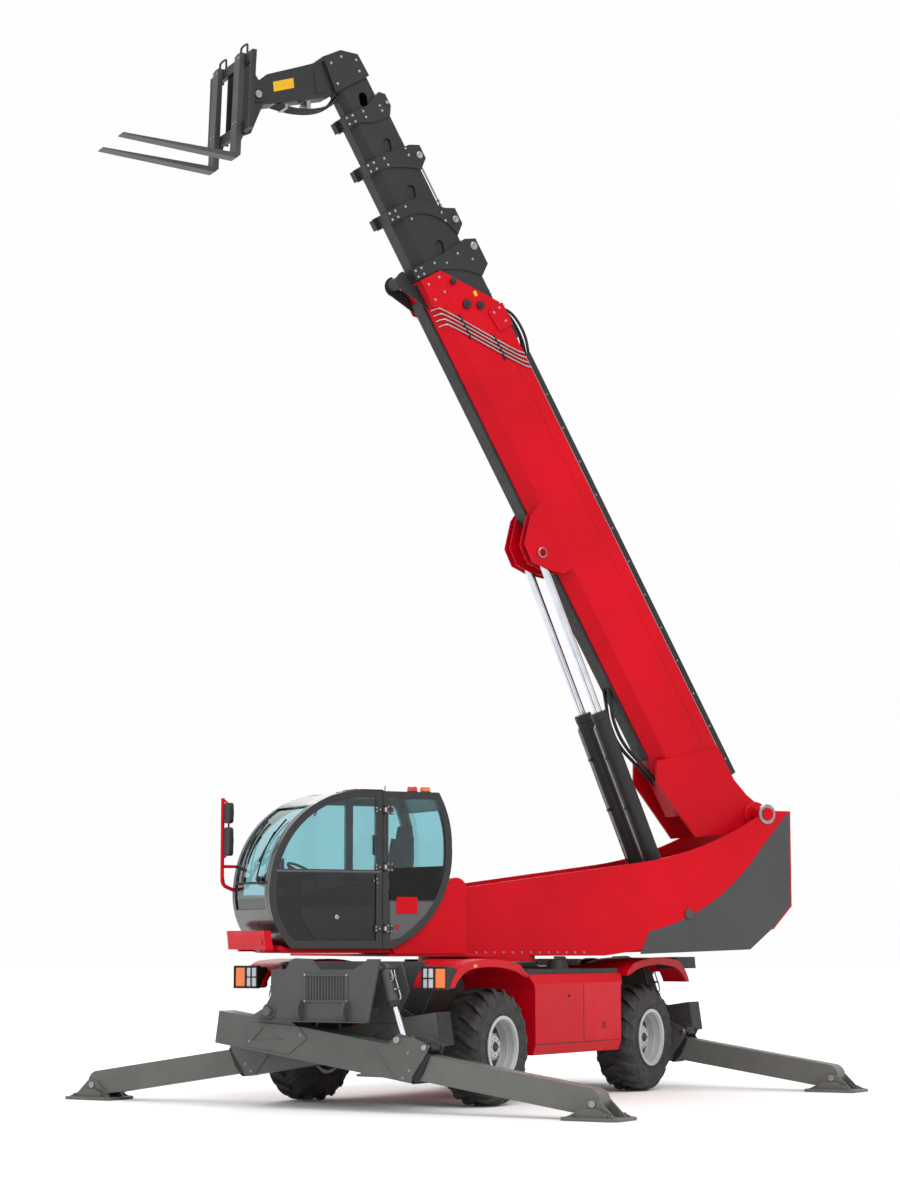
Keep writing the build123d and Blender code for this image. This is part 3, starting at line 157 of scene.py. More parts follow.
def add_prism(bm, outline, low, high, bevel):
    """Adds a side-view outline of (x, z) points pulled from y = low to y = high."""
    bottom = [bm.verts.new((x, low, z)) for x, z in outline]
    top = [bm.verts.new((x, high, z)) for x, z in outline]
    faces = [bm.faces.new(bottom), bm.faces.new(list(reversed(top)))]
    for i in range(len(outline)):
        j = (i + 1) % len(outline)
        faces.append(bm.faces.new((bottom[j], bottom[i], top[i], top[j])))
    bevel_edges(bm, {edge for face in faces for edge in face.edges}, bevel)


def add_bolt(bm, place, axis, size):
    """Adds a hexagon bolt head with its washer, standing on a surface."""
    place, axis = Vector(place), Vector(axis).normalized()
    add_rod(bm, place - axis * 0.002, place + axis * 0.15 * size, 1.05 * size, sides=16)
    add_rod(bm, place, place + axis * 0.75 * size, 0.8 * size, 0.76 * size, sides=6)


# ==== kinds of piece ====
def bolts(name, places, axis, size, on, material):
    """One piece with a bolt head at every place."""
    bm = bmesh.new()
    for spot in places:
        add_bolt(bm, spot, axis, size)
    return from_bmesh(name, bm, on, material)


def blocks(name, boxes, on, material, bevel=0.004):
    """One piece made of bevelled boxes, each a (centre, size)."""
    bm = bmesh.new()
    for centre, size in boxes:
        add_block(bm, centre, size, min(bevel, 0.4 * min(size)))
    return from_bmesh(name, bm, on, material)


def rods(name, runs, radius, on, material, sides=20):
    """One piece made of round bars, each a (start, end)."""
    bm = bmesh.new()
    for start, end in runs:
        add_rod(bm, start, end, radius, sides=sides)
    return from_bmesh(name, bm, on, material)


def rings(name, centres, axis, profile, on, material, sides=40):
    """One piece made of equal turned rings."""
    bm = bmesh.new()
    for centre in centres:
        add_ring(bm, centre, axis, profile, sides)
    return from_bmesh(name, bm, on, material)


def prism(name, outline, low, high, bevel, on, material):
    """A piece pulled from a side-view outline."""
    bm = bmesh.new()
    add_prism(bm, outline, low, high, bevel)
    return from_bmesh(name, bm, on, material)


def plate(name, outline, y, thickness, on, material, bevel=0.0):
    """A flat plate drawn in side view."""
    curve = bpy.data.curves.new(name + "_curve", "CURVE")
    curve.dimensions = "2D"
    curve.fill_mode = "BOTH"
    curve.extrude = thickness / 2 - bevel
    curve.bevel_depth = bevel
    curve.bevel_resolution = 1
    curve.offset = -bevel
    spline = curve.splines.new("POLY")
    spline.points.add(len(outline) - 1)
    for control, (x, z) in zip(spline.points, outline):
        control.co = (x, z, 0, 1)
    spline.use_cyclic_u = True
    holder = link(name + "_curve", curve)
    bpy.context.view_layer.update()
    mesh = bpy.data.meshes.new_from_object(holder)
    bpy.data.objects.remove(holder)
    place, body = on
    mesh.transform(place @ Matrix.Translation((0, y, 0)) @ Matrix.Rotation(pi / 2, 4, "X"))
    mesh.name = name
    return finish_piece(name, mesh, material, body)


def tube(name, points, radius, on, material, closed=False):
    """A smooth pipe or hose through points drawn in a frame."""
    place, body = on
    curve = bpy.data.curves.new(name, "CURVE")
    curve.dimensions = "3D"
    curve.bevel_depth = radius
    curve.bevel_resolution = 3
    curve.resolution_u = 8
    curve.use_fill_caps = not closed
    spline = curve.splines.new("NURBS")
    spline.points.add(len(points) - 1)
    for control, point in zip(spline.points, points):
        control.co = (*(place @ Vector(point)), 1)
    spline.order_u = 3
    spline.use_cyclic_u = closed
    spline.use_endpoint_u = not closed
    return finish_piece(name, curve, material, body)


# profiles for turned rings and points to set things out by
CORE = 0.0005  # smallest radius, where a turned form is closed in its middle


def cap(radius, height, top_radius, top, bore=CORE):
    """Profile of a pin's end or a collar with a chamfered edge."""
    return [(bore, 0.0), (radius, 0.0), (radius, height), (top_radius, top), (bore, top)]


def band(inner, outer, low, high):
    """Profile of a plain square-edged ring."""
    return [(inner, low), (outer, low), (outer, high), (inner, high)]


def circle(radius, count, height=0.0):
    """Points evenly spaced on a circle about Z."""
    return [(radius * cos(tau * i / count), radius * sin(tau * i / count), height) for i in range(count)]


# ==== materials ====
DUST = (0.42, 0.37, 0.31)
RUBBER, DUSTY_RUBBER = (0.012, 0.012, 0.012), (0.06, 0.055, 0.05)
DARK_PANE, CLEAR_PANE = (0.012, 0.015, 0.016), (0.47, 0.72, 0.76)


def shade(colour, factor, lift_by=0.0):
    """A colour made darker or lighter."""
    return tuple(min(1.0, factor * channel + lift_by) for channel in colour)


class Nodes:
    """Short names for building a material's node tree."""

    def __init__(self, name):
        self.material = bpy.data.materials.new(name)
        self.material.use_nodes = True
        self.tree = self.material.node_tree
        self.shader = self.tree.nodes["Principled BSDF"]
        self.coords = self.node("ShaderNodeTexCoord", {}).outputs["Object"]

    def feed(self, socket, value):
        """Sets a socket to a number or a colour, or links an output to it."""
        if isinstance(value, (int, float)):
            socket.default_value = value
        elif isinstance(value, tuple):
            socket.default_value = (*value, 1)
        else:
            self.tree.links.new(value, socket)

    def node(self, kind, inputs, **settings):
        """Adds a node with its settings, and feeds its inputs by name or number."""
        made = self.tree.nodes.new(kind)
        for key, value in settings.items():
            setattr(made, key, value)
        for key, value in inputs.items():
            self.feed(made.inputs[key], value)
        return made

    def noise(self, scale, detail=3.0, roughness=0.5):
        inputs = {"Scale": scale, "Detail": detail, "Roughness": roughness, "Vector": self.coords}
        return self.node("ShaderNodeTexNoise", inputs).outputs["Fac"]

    def ramp(self, value, low, high, low_out=0.0, high_out=1.0):
        inputs = {"From Min": low, "From Max": high, "To Min": low_out, "To Max": high_out, "Value": value}
        return self.node("ShaderNodeMapRange", inputs).outputs["Result"]

    def times(self, first, second):
        return self.node("ShaderNodeMath", {0: first, 1: second}, operation="MULTIPLY").outputs[0]

    def mix(self, factor, first, second):
        return self.node("ShaderNodeMix", {0: factor, 6: first, 7: second}, data_type="RGBA").outputs[2]

    def height(self, vector):
        return self.node("ShaderNodeSeparateXYZ", {0: vector}).outputs["Z"]

    def rounded(self, radius):
        """Normals that round off the edges."""
        return self.node("ShaderNodeBevel", {"Radius": radius}, samples=4).outputs["Normal"]

    def bump(self, height, strength, distance=0.002, rounding=0.0):
        inputs = {"Strength": strength, "Distance": distance, "Height": height}
        if rounding:
            inputs["Normal"] = self.rounded(rounding)
        self.set(normal=self.node("ShaderNodeBump", inputs).outputs["Normal"])

    def set(self, **values):
        """Sets or links the shader's sockets."""
        for key, value in values.items():
            self.feed(self.shader.inputs[key.replace("_", " ").title().replace("Ior", "IOR")], value)


def paint(name, colour, roughness, coat=0.1, dust=0.2, rounding=0.008, worn=0.5, specular=0.3):
    """Sprayed paint: faint shade changes, orange peel, thin wear on edges and dust low down."""
    n = Nodes(name)
    body = n.mix(n.ramp(n.noise(0.9, 4.0), 0.35, 0.65), colour, shade(colour, 0.82))
    # wear where the rounded normal leaves the flat one
    normal = n.node("ShaderNodeNewGeometry", {}).outputs["Normal"]
    dot = n.node("ShaderNodeVectorMath", {0: n.rounded(0.004), 1: normal}, operation="DOT_PRODUCT")
    edge = n.ramp(dot.outputs["Value"], 0.985, 0.9)
    scuffed = n.times(edge, n.ramp(n.noise(38.0, 5.0, 0.7), 0.5, 0.62))
    body = n.mix(n.times(scuffed, worn), body, shade(colour, 1.5, 0.05))
    # dust settles near the ground and on what faces up
    low = n.ramp(n.height(n.coords), 1.6, 0.0)
    upward = n.ramp(n.height(normal), 0.2, 1.0, 0.25, 1.0)
    patches = n.ramp(n.noise(7.0, 6.0, 0.65), 0.42, 0.75)
    n.set(base_color=n.mix(n.times(n.times(low, upward), n.times(patches, dust)), body, DUST),
          roughness=n.ramp(n.noise(5.0, 4.0), 0.3, 0.7, roughness - 0.04, roughness + 0.06),
          coat_weight=coat, coat_roughness=0.12, specular_ior_level=specular)
    n.bump(n.noise(420.0, 2.0), 0.06, rounding=rounding)
    return n.material


def mottled(name, shades, tone, gloss, grain, rounding, **values):
    """Two shades in patches, patches of gloss and a fine grain: each a noise and its range or strength."""
    n = Nodes(name)
    n.set(base_color=n.mix(n.ramp(n.noise(*tone[0]), *tone[1]), *shades),
          roughness=n.ramp(n.noise(*gloss[0]), 0.3, 0.7, *gloss[1]), **values)
    n.bump(n.noise(*grain[0]), grain[1], rounding=rounding)
    return n.material


def metal(name, colour, roughness, rounding=0.003):
    """Bare or plated metal."""
    return mottled(name, (colour, shade(colour, 0.8)), ((6.0, 4.0), (0.3, 0.7)),
                   ((60.0, 4.0), (roughness * 0.8, roughness * 1.3)), ((500.0, 3.0), 0.05), rounding, metallic=1.0)


def cast(name, colour, roughness):
    """Rough casting with a coat of thin dark paint."""
    return mottled(name, (colour, shade(colour, 1.6)), ((14.0, 6.0, 0.7), (0.35, 0.7)),
                   ((30.0, 4.0), (roughness - 0.1, roughness + 0.1)), ((120.0, 6.0, 0.7), 0.35), 0.006, metallic=0.2)


def plastic(name, colour, roughness, grain=0.25, specular=0.35):
    """Moulded plastic or rubber with a fine grain."""
    return mottled(name, (colour, shade(colour, 1.35, 0.004)), ((3.0, 4.0), (0.35, 0.7)),
                   ((20.0, 4.0), (roughness - 0.06, roughness + 0.08)), ((650.0, 3.0), grain), 0.004,
                   specular_ior_level=specular)


def tyre_rubber():
    """Black tyre rubber, greyed with dust between the lugs."""
    return mottled("tyre_rubber", (RUBBER, DUSTY_RUBBER), ((9.0, 6.0, 0.7), (0.4, 0.75, 0.0, 0.55)),
                   ((15.0, 4.0), (0.62, 0.85)), ((180.0, 5.0, 0.65), 0.2), 0.006)


def tinted_glass(name, belt):
    """Thin teal panes, near black below the belt line."""
    n = Nodes(name)
    above = n.ramp(n.height(n.coords), belt - 0.01, belt + 0.01)
    n.set(base_color=n.mix(above, DARK_PANE, CLEAR_PANE), roughness=0.01, transmission_weight=1.0)
    n.bump(n.noise(1.4, 2.0), 0.02, 0.01)
    return n.material


def lens(name, colour, glow):
    """Moulded lamp lens with fine ribs."""
    n = Nodes(name)
    wave = n.node("ShaderNodeTexWave", {"Scale": 60.0, "Vector": n.coords}, bands_direction="DIAGONAL").outputs["Fac"]
    n.set(base_color=n.mix(wave, colour, shade(colour, 0.7)), roughness=0.12, coat_weight=0.8,
          emission_color=colour, emission_strength=glow)
    n.bump(wave, 0.4, 0.001)
    return n.material


red = paint("red_paint", (0.52, 0.0, 0.008), 0.42, coat=0.03, dust=0.06, specular=0.12)
grey = paint("grey_paint", (0.056, 0.057, 0.057), 0.5)
arm_grey = paint("arm_paint", (0.082, 0.083, 0.078), 0.5)
mid_grey = paint("mid_grey_paint", (0.05, 0.051, 0.053), 0.5, dust=0.15)
leg_grey = paint("leg_grey_paint", (0.105, 0.106, 0.098), 0.48)
dark = paint("stage_paint", (0.017, 0.0175, 0.019), 0.5, coat=0.05, dust=0.05)
pane_black = plastic("pane_black", (0.002, 0.0024, 0.0026), 0.3, 0.03, 0.2)
panel_grey = paint("panel_paint", (0.085, 0.088, 0.092), 0.45, coat=0.2, dust=0.05)
silver = paint("silver_paint", (0.42, 0.43, 0.44), 0.4, coat=0.2, worn=0.2)
rim_dark = paint("rim_disc_paint", (0.035, 0.036, 0.038), 0.5, dust=0.3)
cab_black = paint("cab_black_paint", (0.008, 0.008, 0.009), 0.28, coat=0.6, dust=0.05, rounding=0.012)
black = plastic("black_plastic", (0.009, 0.009, 0.01), 0.55)
matt = plastic("soft_black", (0.014, 0.014, 0.015), 0.72, 0.4)
hose = plastic("hose_rubber", (0.008, 0.008, 0.008), 0.48, 0.15)
rubber = tyre_rubber()
steel = metal("machined_steel", (0.3, 0.3, 0.3), 0.36)
zinc = metal("zinc_plate", (0.46, 0.46, 0.45), 0.3)
chrome = metal("chrome_rod", (0.66, 0.7, 0.74), 0.1)
iron = cast("iron", (0.02, 0.02, 0.021), 0.6)
glass = tinted_glass("tinted_glass", 2.06)
door_pane = tinted_glass("door_glass", 2.33)
mirror_face = metal("mirror_face", (0.85, 0.87, 0.88), 0.02, rounding=0.0)
orange_lens = lens("orange_lens", (0.85, 0.16, 0.0), 0.1)
red_lens = lens("red_lens", (0.6, 0.0, 0.005), 0.1)
white_lens = lens("white_lens", (0.55, 0.57, 0.6), 0.05)
yellow = paint("yellow_plate", (0.75, 0.42, 0.0), 0.45, coat=0.2, dust=0.05)
seat_cloth = plastic("seat_cloth", (0.02, 0.02, 0.022), 0.85, 0.6)

# the CAD nodes' materials: by the record's slot, and some nodes by name
slot_materials = {
    "red_paint": red, "grey_paint": grey, "mid_grey_paint": mid_grey, "silver_paint": silver,
    "black_paint": cab_black, "black_plastic": black, "tyre_rubber": rubber,
    "tinted_glass": glass, "steel": steel, "chrome_rod": chrome, "iron": iron,
    "signal_plastic": orange_lens,
}
own_materials = {"boom_head": dark, "forks": mid_grey, "fork_carriage": dark,
                 "lift_barrels": dark, "door_glass": door_pane, "counterweight": grey}
for prefix, material in (("boom_section_", dark), ("leg_", leg_grey), ("arm_", arm_grey)):
    own_materials.update({name: material for name in nodes if name.startswith(prefix)})
for entry in frame["record"]["subparts"]:
    materials = nodes[entry["node"]].data.materials
    materials.clear()
    materials.append(own_materials.get(entry["node"], slot_materials[entry["material_slot"]]))

# ==== wheels ====
WHEELS = ("front_left", "front_right", "rear_left", "rear_right")
TYRE_RADIUS = joints["roll_front_left"]["pos_m"][2]
TYRE_WALL = [(0.293, 0.203), (0.318, 0.21), (0.322, 0.216), (0.334, 0.218), (0.339, 0.213), (0.372, 0.218),
             (0.42, 0.223), (0.452, 0.222), (0.456, 0.2245), (0.466, 0.224), (0.47, 0.2205), (0.5, 0.215),
             (0.528, 0.2), (0.545, 0.17), (0.55, 0.09)]
RIM_STEPS = [(0.247, 0.05), (0.262, 0.07), (0.262, 0.12), (0.272, 0.135), (0.272, 0.18), (0.279, 0.19),
             (0.2765, 0.225), (0.266, 0.2), (0.266, 0.14), (0.256, 0.126), (0.256, 0.075), (0.242, 0.052)]
LUGS = 19  # tread bars on each side of a tyre
LUG_STEPS = 8  # pieces that a bar's curve is made of
LUG_START, LUG_LENGTH = 0.006, 0.214  # across the tread, from its middle
LUG_FOOT, LUG_TOP = 0.036, 0.002  # below the tyre's radius
SHOULDER = 0.62  # share of a bar's length where the tread turns down


def wheel_frame(name):
    """Frame at a wheel's centre with Z pointing outboard."""
    hand = 1 if "left" in name else -1
    return make_frame(joints[f"roll_{name}"]["pos_m"], (1, 0, 0), (0, 0, -hand))


def add_lug(bm, angle, side):
    """One slanted tread bar from the middle of the tread over its shoulder."""
    loops = []
    for step in range(LUG_STEPS + 1):
        t = step / LUG_STEPS
        across = LUG_START + LUG_LENGTH * t
        drop = max(0.0, t - SHOULDER) ** 2
        foot = TYRE_RADIUS - LUG_FOOT - 0.55 * drop
        top = TYRE_RADIUS - LUG_TOP - 0.42 * drop - 0.02 * max(0.0, t - 0.8)
        turned = angle + 0.2 * t + 0.05 * t * t
        half = (0.021 + 0.02 * t) / TYRE_RADIUS
        section = ((foot - 0.01, -1.15), (top, -0.8), (top, 0.8), (foot - 0.01, 1.15))
        loops.append([bm.verts.new((r * cos(turned + k * half), r * sin(turned + k * half), side * across))
                      for r, k in section])
    for here, there in zip(loops, loops[1:]):
        for j in range(4):
            k = (j + 1) % 4
            bm.faces.new((here[j], here[k], there[k], there[j]))
    bm.faces.new(list(reversed(loops[0])))
    bm.faces.new(loops[-1])


def make_tyre(name, on_wheel):
    """Tyre with its treads; the bars of the second side stand half a step on."""
    bm = bmesh.new()
    profile = TYRE_WALL + [(0.551, 0.0)] + [(r, -a) for r, a in reversed(TYRE_WALL)]
    add_ring(bm, (0, 0, 0), (0, 0, 1), profile, 112)
    for side, shift in ((1, 0), (-1, 0.5)):
        for index in range(LUGS):
            add_lug(bm, tau * (index + shift) / LUGS - pi / 2 - 0.02, side)
    tyre = smooth(from_bmesh(f"tread_{name}", bm, on_wheel, rubber))
    tyre.data.set_sharp_from_angle(angle=radians(35))
    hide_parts(f"tyre_{name}")


def make_wheel_trim(name, on_wheel):
    """Nuts, hub, the rim's steps, its disc and the valve."""
    outboard = (0, 0, 1)
    bolts(f"wheel_nuts_{name}", circle(0.205, 10, 0.045), outboard, 0.017, on_wheel, zinc)
    bolts(f"hub_bolts_{name}", circle(0.082, 8, 0.13), outboard, 0.009, on_wheel, steel)
    rings(f"hub_cap_{name}", [(0, 0, 0.13)], outboard,
          [(CORE, 0.018), (0.035, 0.018), (0.045, 0.008), (0.052, -0.002), (CORE, -0.002)], on_wheel, iron)
    rings(f"rim_steps_{name}", [(0, 0, 0)], outboard, RIM_STEPS, on_wheel, silver, 96)
    rings(f"rim_disc_{name}", [(0, 0, 0.0462)], outboard, band(0.132, 0.24, -0.001, 0.001), on_wheel, rim_dark, 72)
    rods(f"valve_{name}", [((0.235, 0.0, 0.06), (0.238, 0.0, 0.1))], 0.005, on_wheel, steel, 10)


for wheel in WHEELS:
    on_this_wheel = (wheel_frame(wheel), f"wheel_{wheel}")
    make_tyre(wheel, on_this_wheel)
    make_wheel_trim(wheel, on_this_wheel)

# ==== stabilisers ====
ARM_FACE = 0.145  # from an arm's middle to its cheeks
ARM_BOLTS = ((1.62, -0.14), (1.66, -0.3), (1.6, -0.38), (0.38, -0.17), (-0.21, -0.33))
ARM_MOUTH = 1.712
MOUTH_LIP = [(1.69, -0.405), (1.74, -0.405), (1.8, -0.3), (1.85, -0.125), (1.8, -0.08), (1.69, -0.1)]
ROLLER_X, ROLLER_Z = 1.79, -0.06
RAM_RADIUS = 0.062
RAM_GLAND = [(0.03, 0.0), (0.058, 0.0), (RAM_RADIUS, -0.012), (RAM_RADIUS, -0.05), (0.055, -0.056), (0.055, -0.002),
             (0.03, 0.006)]
FOOT_RIB = [(-0.27, 0.026), (-0.06, 0.11), (0.06, 0.11), (0.27, 0.026)]


def make_arm(name, on_arm):
    """Bolts, pin ends, the black collar at the mouth with its roller, and the tail's cap."""
    for side, hand in (("inner", 1), ("outer", -1)):
        tag, face, outward = f"{name}_{side}", hand * ARM_FACE, (0, hand, 0)
        bolts(f"arm_bolts_{tag}", [(x, face, z) for x, z in ARM_BOLTS], outward, 0.013, on_arm, steel)
        rings(f"pivot_cap_{tag}", [(0, hand * 0.135, 0)], outward, cap(0.075, 0.02, 0.068, 0.026, 0.047),
              on_arm, grey, 36)
        rings(f"ram_pin_{tag}", [(1.48, face, -0.038)], outward, cap(0.036, 0.014, 0.03, 0.02), on_arm, steel, 28)
        rings(f"roller_cap_{tag}", [(ROLLER_X, face, ROLLER_Z)], outward, cap(0.03, 0.012, 0.024, 0.018),
              on_arm, steel, 28)
    collar = bmesh.new()
    for z in (-0.108, -0.402):
        add_block(collar, (ARM_MOUTH, 0, z), (0.024, 0.27, 0.034), 0.004)
    for y in (0.12, -0.12):
        add_block(collar, (ARM_MOUTH, y, -0.255), (0.024, 0.03, 0.32), 0.004)
    for low, high in ((0.1095, 0.133), (-0.133, -0.1095)):
        add_prism(collar, MOUTH_LIP, low, high, 0.002)
    add_block(collar, (1.765, 0, -0.122), (0.12, 0.22, 0.008), 0.002)
    for half, radius in ((0.135, 0.022), (0.08, 0.045)):
        add_rod(collar, (ROLLER_X, -half, ROLLER_Z), (ROLLER_X, half, ROLLER_Z), radius)
    from_bmesh(f"arm_collar_{name}", collar, on_arm, black)
    blocks(f"arm_tail_cap_{name}", [((-0.62, 0, -0.255), (0.012, 0.262, 0.31))], on_arm, black)


def make_ram(name, on_ram):
    """Gland, two pipes, and the clamps that hold them."""
    rings(f"ram_gland_{name}", [(0.392, 0, 0)], (1, 0, 0), RAM_GLAND, on_ram, dark)
    for index, hand in enumerate((1, -1)):
        port, bend, y = 0.345 - 0.2 * index, 0.26 - 0.16 * index, hand * 0.02
        tube(f"ram_pipe_{name}_{index + 1}",
             [(port, y, RAM_RADIUS - 0.012), (port, y, RAM_RADIUS + 0.02), (bend, y, RAM_RADIUS + 0.022),
              (0.09, y, RAM_RADIUS + 0.022), (0.05, hand * 0.03, RAM_RADIUS + 0.03)], 0.008, on_ram, zinc)
    blocks(f"ram_clamps_{name}", [((x, 0, 0.078), (0.02, 0.075, 0.03)) for x in (0.12, 0.24)], on_ram, steel, 0.003)


def make_foot(name, on_foot):
    """Pin ends, ribs and the turned-up edges of a foot."""
    rings(f"foot_pin_{name}", [(0, y, 0.15) for y in (-0.129, 0.129)], (0, 1, 0), band(CORE, 0.034, -0.012, 0.012),
          on_foot, steel, 28)
    ribs = bmesh.new()
    for hand in (1, -1):
        add_prism(ribs, FOOT_RIB, hand * 0.165, hand * 0.177, 0.002)
        for x in (-0.17, 0.17):
            add_block(ribs, (x, hand * 0.15, 0.045), (0.014, 0.13, 0.04), 0.003)
    from_bmesh(f"foot_ribs_{name}", ribs, on_foot, leg_grey)
    blocks(f"foot_lip_{name}", [((0, y, 0.016), (0.5, 0.02, 0.03)) for y in (-0.225, 0.225)], on_foot, leg_grey)


for name in WHEELS:
    swing, slide = joints[f"arm_swing_{name}"], joints[f"leg_extend_{name}"]
    arm_frame = make_frame(swing["pos_m"], slide["axis"], swing["axis"])
    ram_frame = make_frame(joints[f"ram_swing_{name}"]["pos_m"], joints[f"ram_stroke_{name}"]["axis"], swing["axis"])
    hand = 1 if "left" in name else -1
    foot_frame = make_frame((slide["pos_m"][0], slide["pos_m"][1], 0), (0, hand, 0), (-hand, 0, 0))
    leg_body = f"outrigger_leg_{name}"
    make_arm(name, (arm_frame, f"stabiliser_{name}"))
    make_ram(name, (ram_frame, f"ram_barrel_{name}"))
    blocks(f"leg_strips_{name}", [((2.7, 0, z), (1.35, 0.05, 0.006)) for z in (-0.1295, -0.3805)],
           (arm_frame, leg_body), steel, 0.001)
    make_foot(name, (foot_frame, leg_body))

# ==== chassis ====
END_FACE = 3.225  # outer face of an end plate
GRILLE_Y, GRILLE_Z = 0.165, 1.18
BOX_FACE = 1.25  # outer face of a side box
LAMP_Y, LAMP_Z = 1.11, 1.275
LAMP_CLEAR, LAMP_AMBER = 1.042, 1.178  # middles of the two lenses

for end, angle in (("front", 0), ("rear", pi)):
    on_end = (chassis @ Matrix.Rotation(angle, 4, "Z"), "chassis")
    blocks(f"grille_fins_{end}", [((END_FACE - 0.012, GRILLE_Y + 0.034 * i, GRILLE_Z), (0.03, 0.005, 0.212))
                                  for i in range(-6, 7)], on_end, grey, 0.001)
    blocks(f"grille_back_{end}", [((END_FACE - 0.035, GRILLE_Y, GRILLE_Z), (0.006, 0.47, 0.23))], on_end, matt)
    bolts(f"grille_bolts_{end}", [(END_FACE + 0.01, y, z) for y in (-0.078, 0.408) for z in (1.052, 1.308)],
          (1, 0, 0), 0.01, on_end, zinc)
    rings(f"lug_rims_{end}",
          [(END_FACE + 0.044, y + shift, 0.9625) for y in (-0.12, 0.405) for shift in (0.0155, -0.0155)],
          (0, 1, 0), band(0.0185, 0.03, -0.002, 0.002), on_end, grey, 28)
    rings(f"arm_pin_rim_{end}", [(END_FACE, -0.5, 0.95)], (1, 0, 0), cap(0.078, 0.008, 0.072, 0.012, 0.047),
          on_end, grey)

for side, hand in SIDES:
    # lamps: clear lens inboard, amber outboard, in a deep black housing
    blocks(f"lamp_housing_{side}",
           [((2.735, hand * LAMP_Y, z), (0.06, 0.285, 0.016)) for z in (1.168, 1.382)]
           + [((2.735, hand * (LAMP_Y + y), LAMP_Z), (0.06, 0.016, 0.225)) for y in (-0.138, 0.0, 0.138)],
           on_chassis, black, 0.006)
    for kind, y, material in (("clear", LAMP_CLEAR, white_lens), ("amber", LAMP_AMBER, orange_lens)):
        blocks(f"lamp_{kind}_{side}", [((2.742, hand * y, LAMP_Z), (0.03, 0.118, 0.19))], on_chassis, material, 0.012)
    blocks(f"lamp_bars_{side}", [((2.76, hand * LAMP_CLEAR, LAMP_Z), (0.012, width, height))
                                 for width, height in ((0.118, 0.012), (0.012, 0.19))],
           on_chassis, black, 0.002)
    blocks(f"side_marker_{side}", [((2.2, hand * 1.252, 1.39), (0.07, 0.008, 0.03))], on_chassis, orange_lens, 0.003)
    for kind, middles, material in (("lenses", (1.0, 1.09), red_lens), ("amber", (1.18,), orange_lens)):
        blocks(f"rear_{kind}_{side}", [((-2.885, hand * y, 1.395), (0.02, 0.075, 0.1)) for y in middles],
               on_chassis, material, 0.006)
    # side box: door seams, louvre and lock; ribs on the deck above it
    face = hand * BOX_FACE
    blocks(f"box_seams_{side}", [((-0.1, face, 0.88), (0.008, 0.004, 0.62)), ((0.0, face, 0.585), (1.9, 0.004, 0.008))],
           on_chassis, matt, 0.0)
    blocks(f"box_louvre_{side}", [((-0.56, face, 0.72 + 0.02 * i), (0.11, 0.008, 0.009)) for i in range(4)],
           on_chassis, matt, 0.002)
    rings(f"box_lock_{side}", [(0.23, face, 1.07)], (0, hand, 0),
          [(CORE, -0.001), (0.019, -0.001), (0.019, 0.005), (0.015, 0.009), (CORE, 0.007)], on_chassis, matt, 28)
    blocks(f"deck_ribs_{side}", [((0.1 * i, hand * 0.75, 1.346), (0.012, 0.42, 0.008)) for i in range(2, 10)],
           on_chassis, black, 0.002)

# slewing ring: bolts where the side plates leave them bare, and the cover over its teeth
bolts("ring_bolts", [spot for spot in circle(0.66096, 40, 1.384) if abs(spot[1]) < 0.648], UP, 0.012,
      on_chassis, steel)
rings("ring_teeth_cover", [(0, 0, 1.39)], UP,
      [(0.655, -0.025), (0.665, -0.02), (0.665, 0.018), (0.655, 0.022), (0.641, 0.022), (0.641, -0.025)],
      on_chassis, black, 96)

# ==== turret ====
TURRET_FACE = 0.5  # outer face of a side plate
PIVOT_X, PIVOT_Z = -3.45, 3.06  # the boom's pivot
LIFT_FOOT_X, LIFT_FOOT_Z = -2.4, 1.93  # lower pin of the lift cylinders
TAIL_ARC = [radians(217.5 + 4.15 * i) for i in range(11)]
TAIL_FIELD = ([(-3.72, 3.07), (-3.35, 2.66)] + [(2.42 * cos(a) - 1.42, 2.42 * sin(a) + 4.12) for a in TAIL_ARC]
              + [(-1.76, 1.497), (-3.2, 1.545), (-3.53, 1.8), (-3.755, 2.04), (-3.755, 3.07)])
for side, hand in SIDES:
    face, outward = hand * TURRET_FACE, (0, hand, 0)
    plate(f"tail_field_{side}", TAIL_FIELD, hand * 0.501, 0.004, on_turret, mid_grey)
    rings(f"boom_pin_plate_{side}", [(PIVOT_X, face, PIVOT_Z)], outward, cap(0.112, 0.012, 0.104, 0.018, 0.072),
          on_turret, steel, 48)
    bolts(f"boom_pin_bolts_{side}", [(PIVOT_X + x, hand * 0.517, PIVOT_Z + z) for x, z, _ in circle(0.092, 6)],
          outward, 0.009, on_turret, zinc)
    rings(f"lift_foot_pin_{side}", [(LIFT_FOOT_X, face, LIFT_FOOT_Z)], outward, cap(0.06, 0.014, 0.05, 0.022),
          on_turret, grey)
    bolts(f"flange_bolts_{side}", [(-1.05 + 0.11 * i, face, 1.515) for i in range(13)], outward, 0.012,
          on_turret, steel)
blocks("tail_strip", [((-3.772, 0, z), (0.006, 0.9, 0.02)) for z in (2.06, 2.6)], on_turret, grey, 0.002)
bolts("tail_bolts", [(-3.77, y, z) for y in (-0.43, -0.15, 0.15, 0.43) for z in (2.12, 2.54)], (-1, 0, 0), 0.014,
      on_turret, steel)

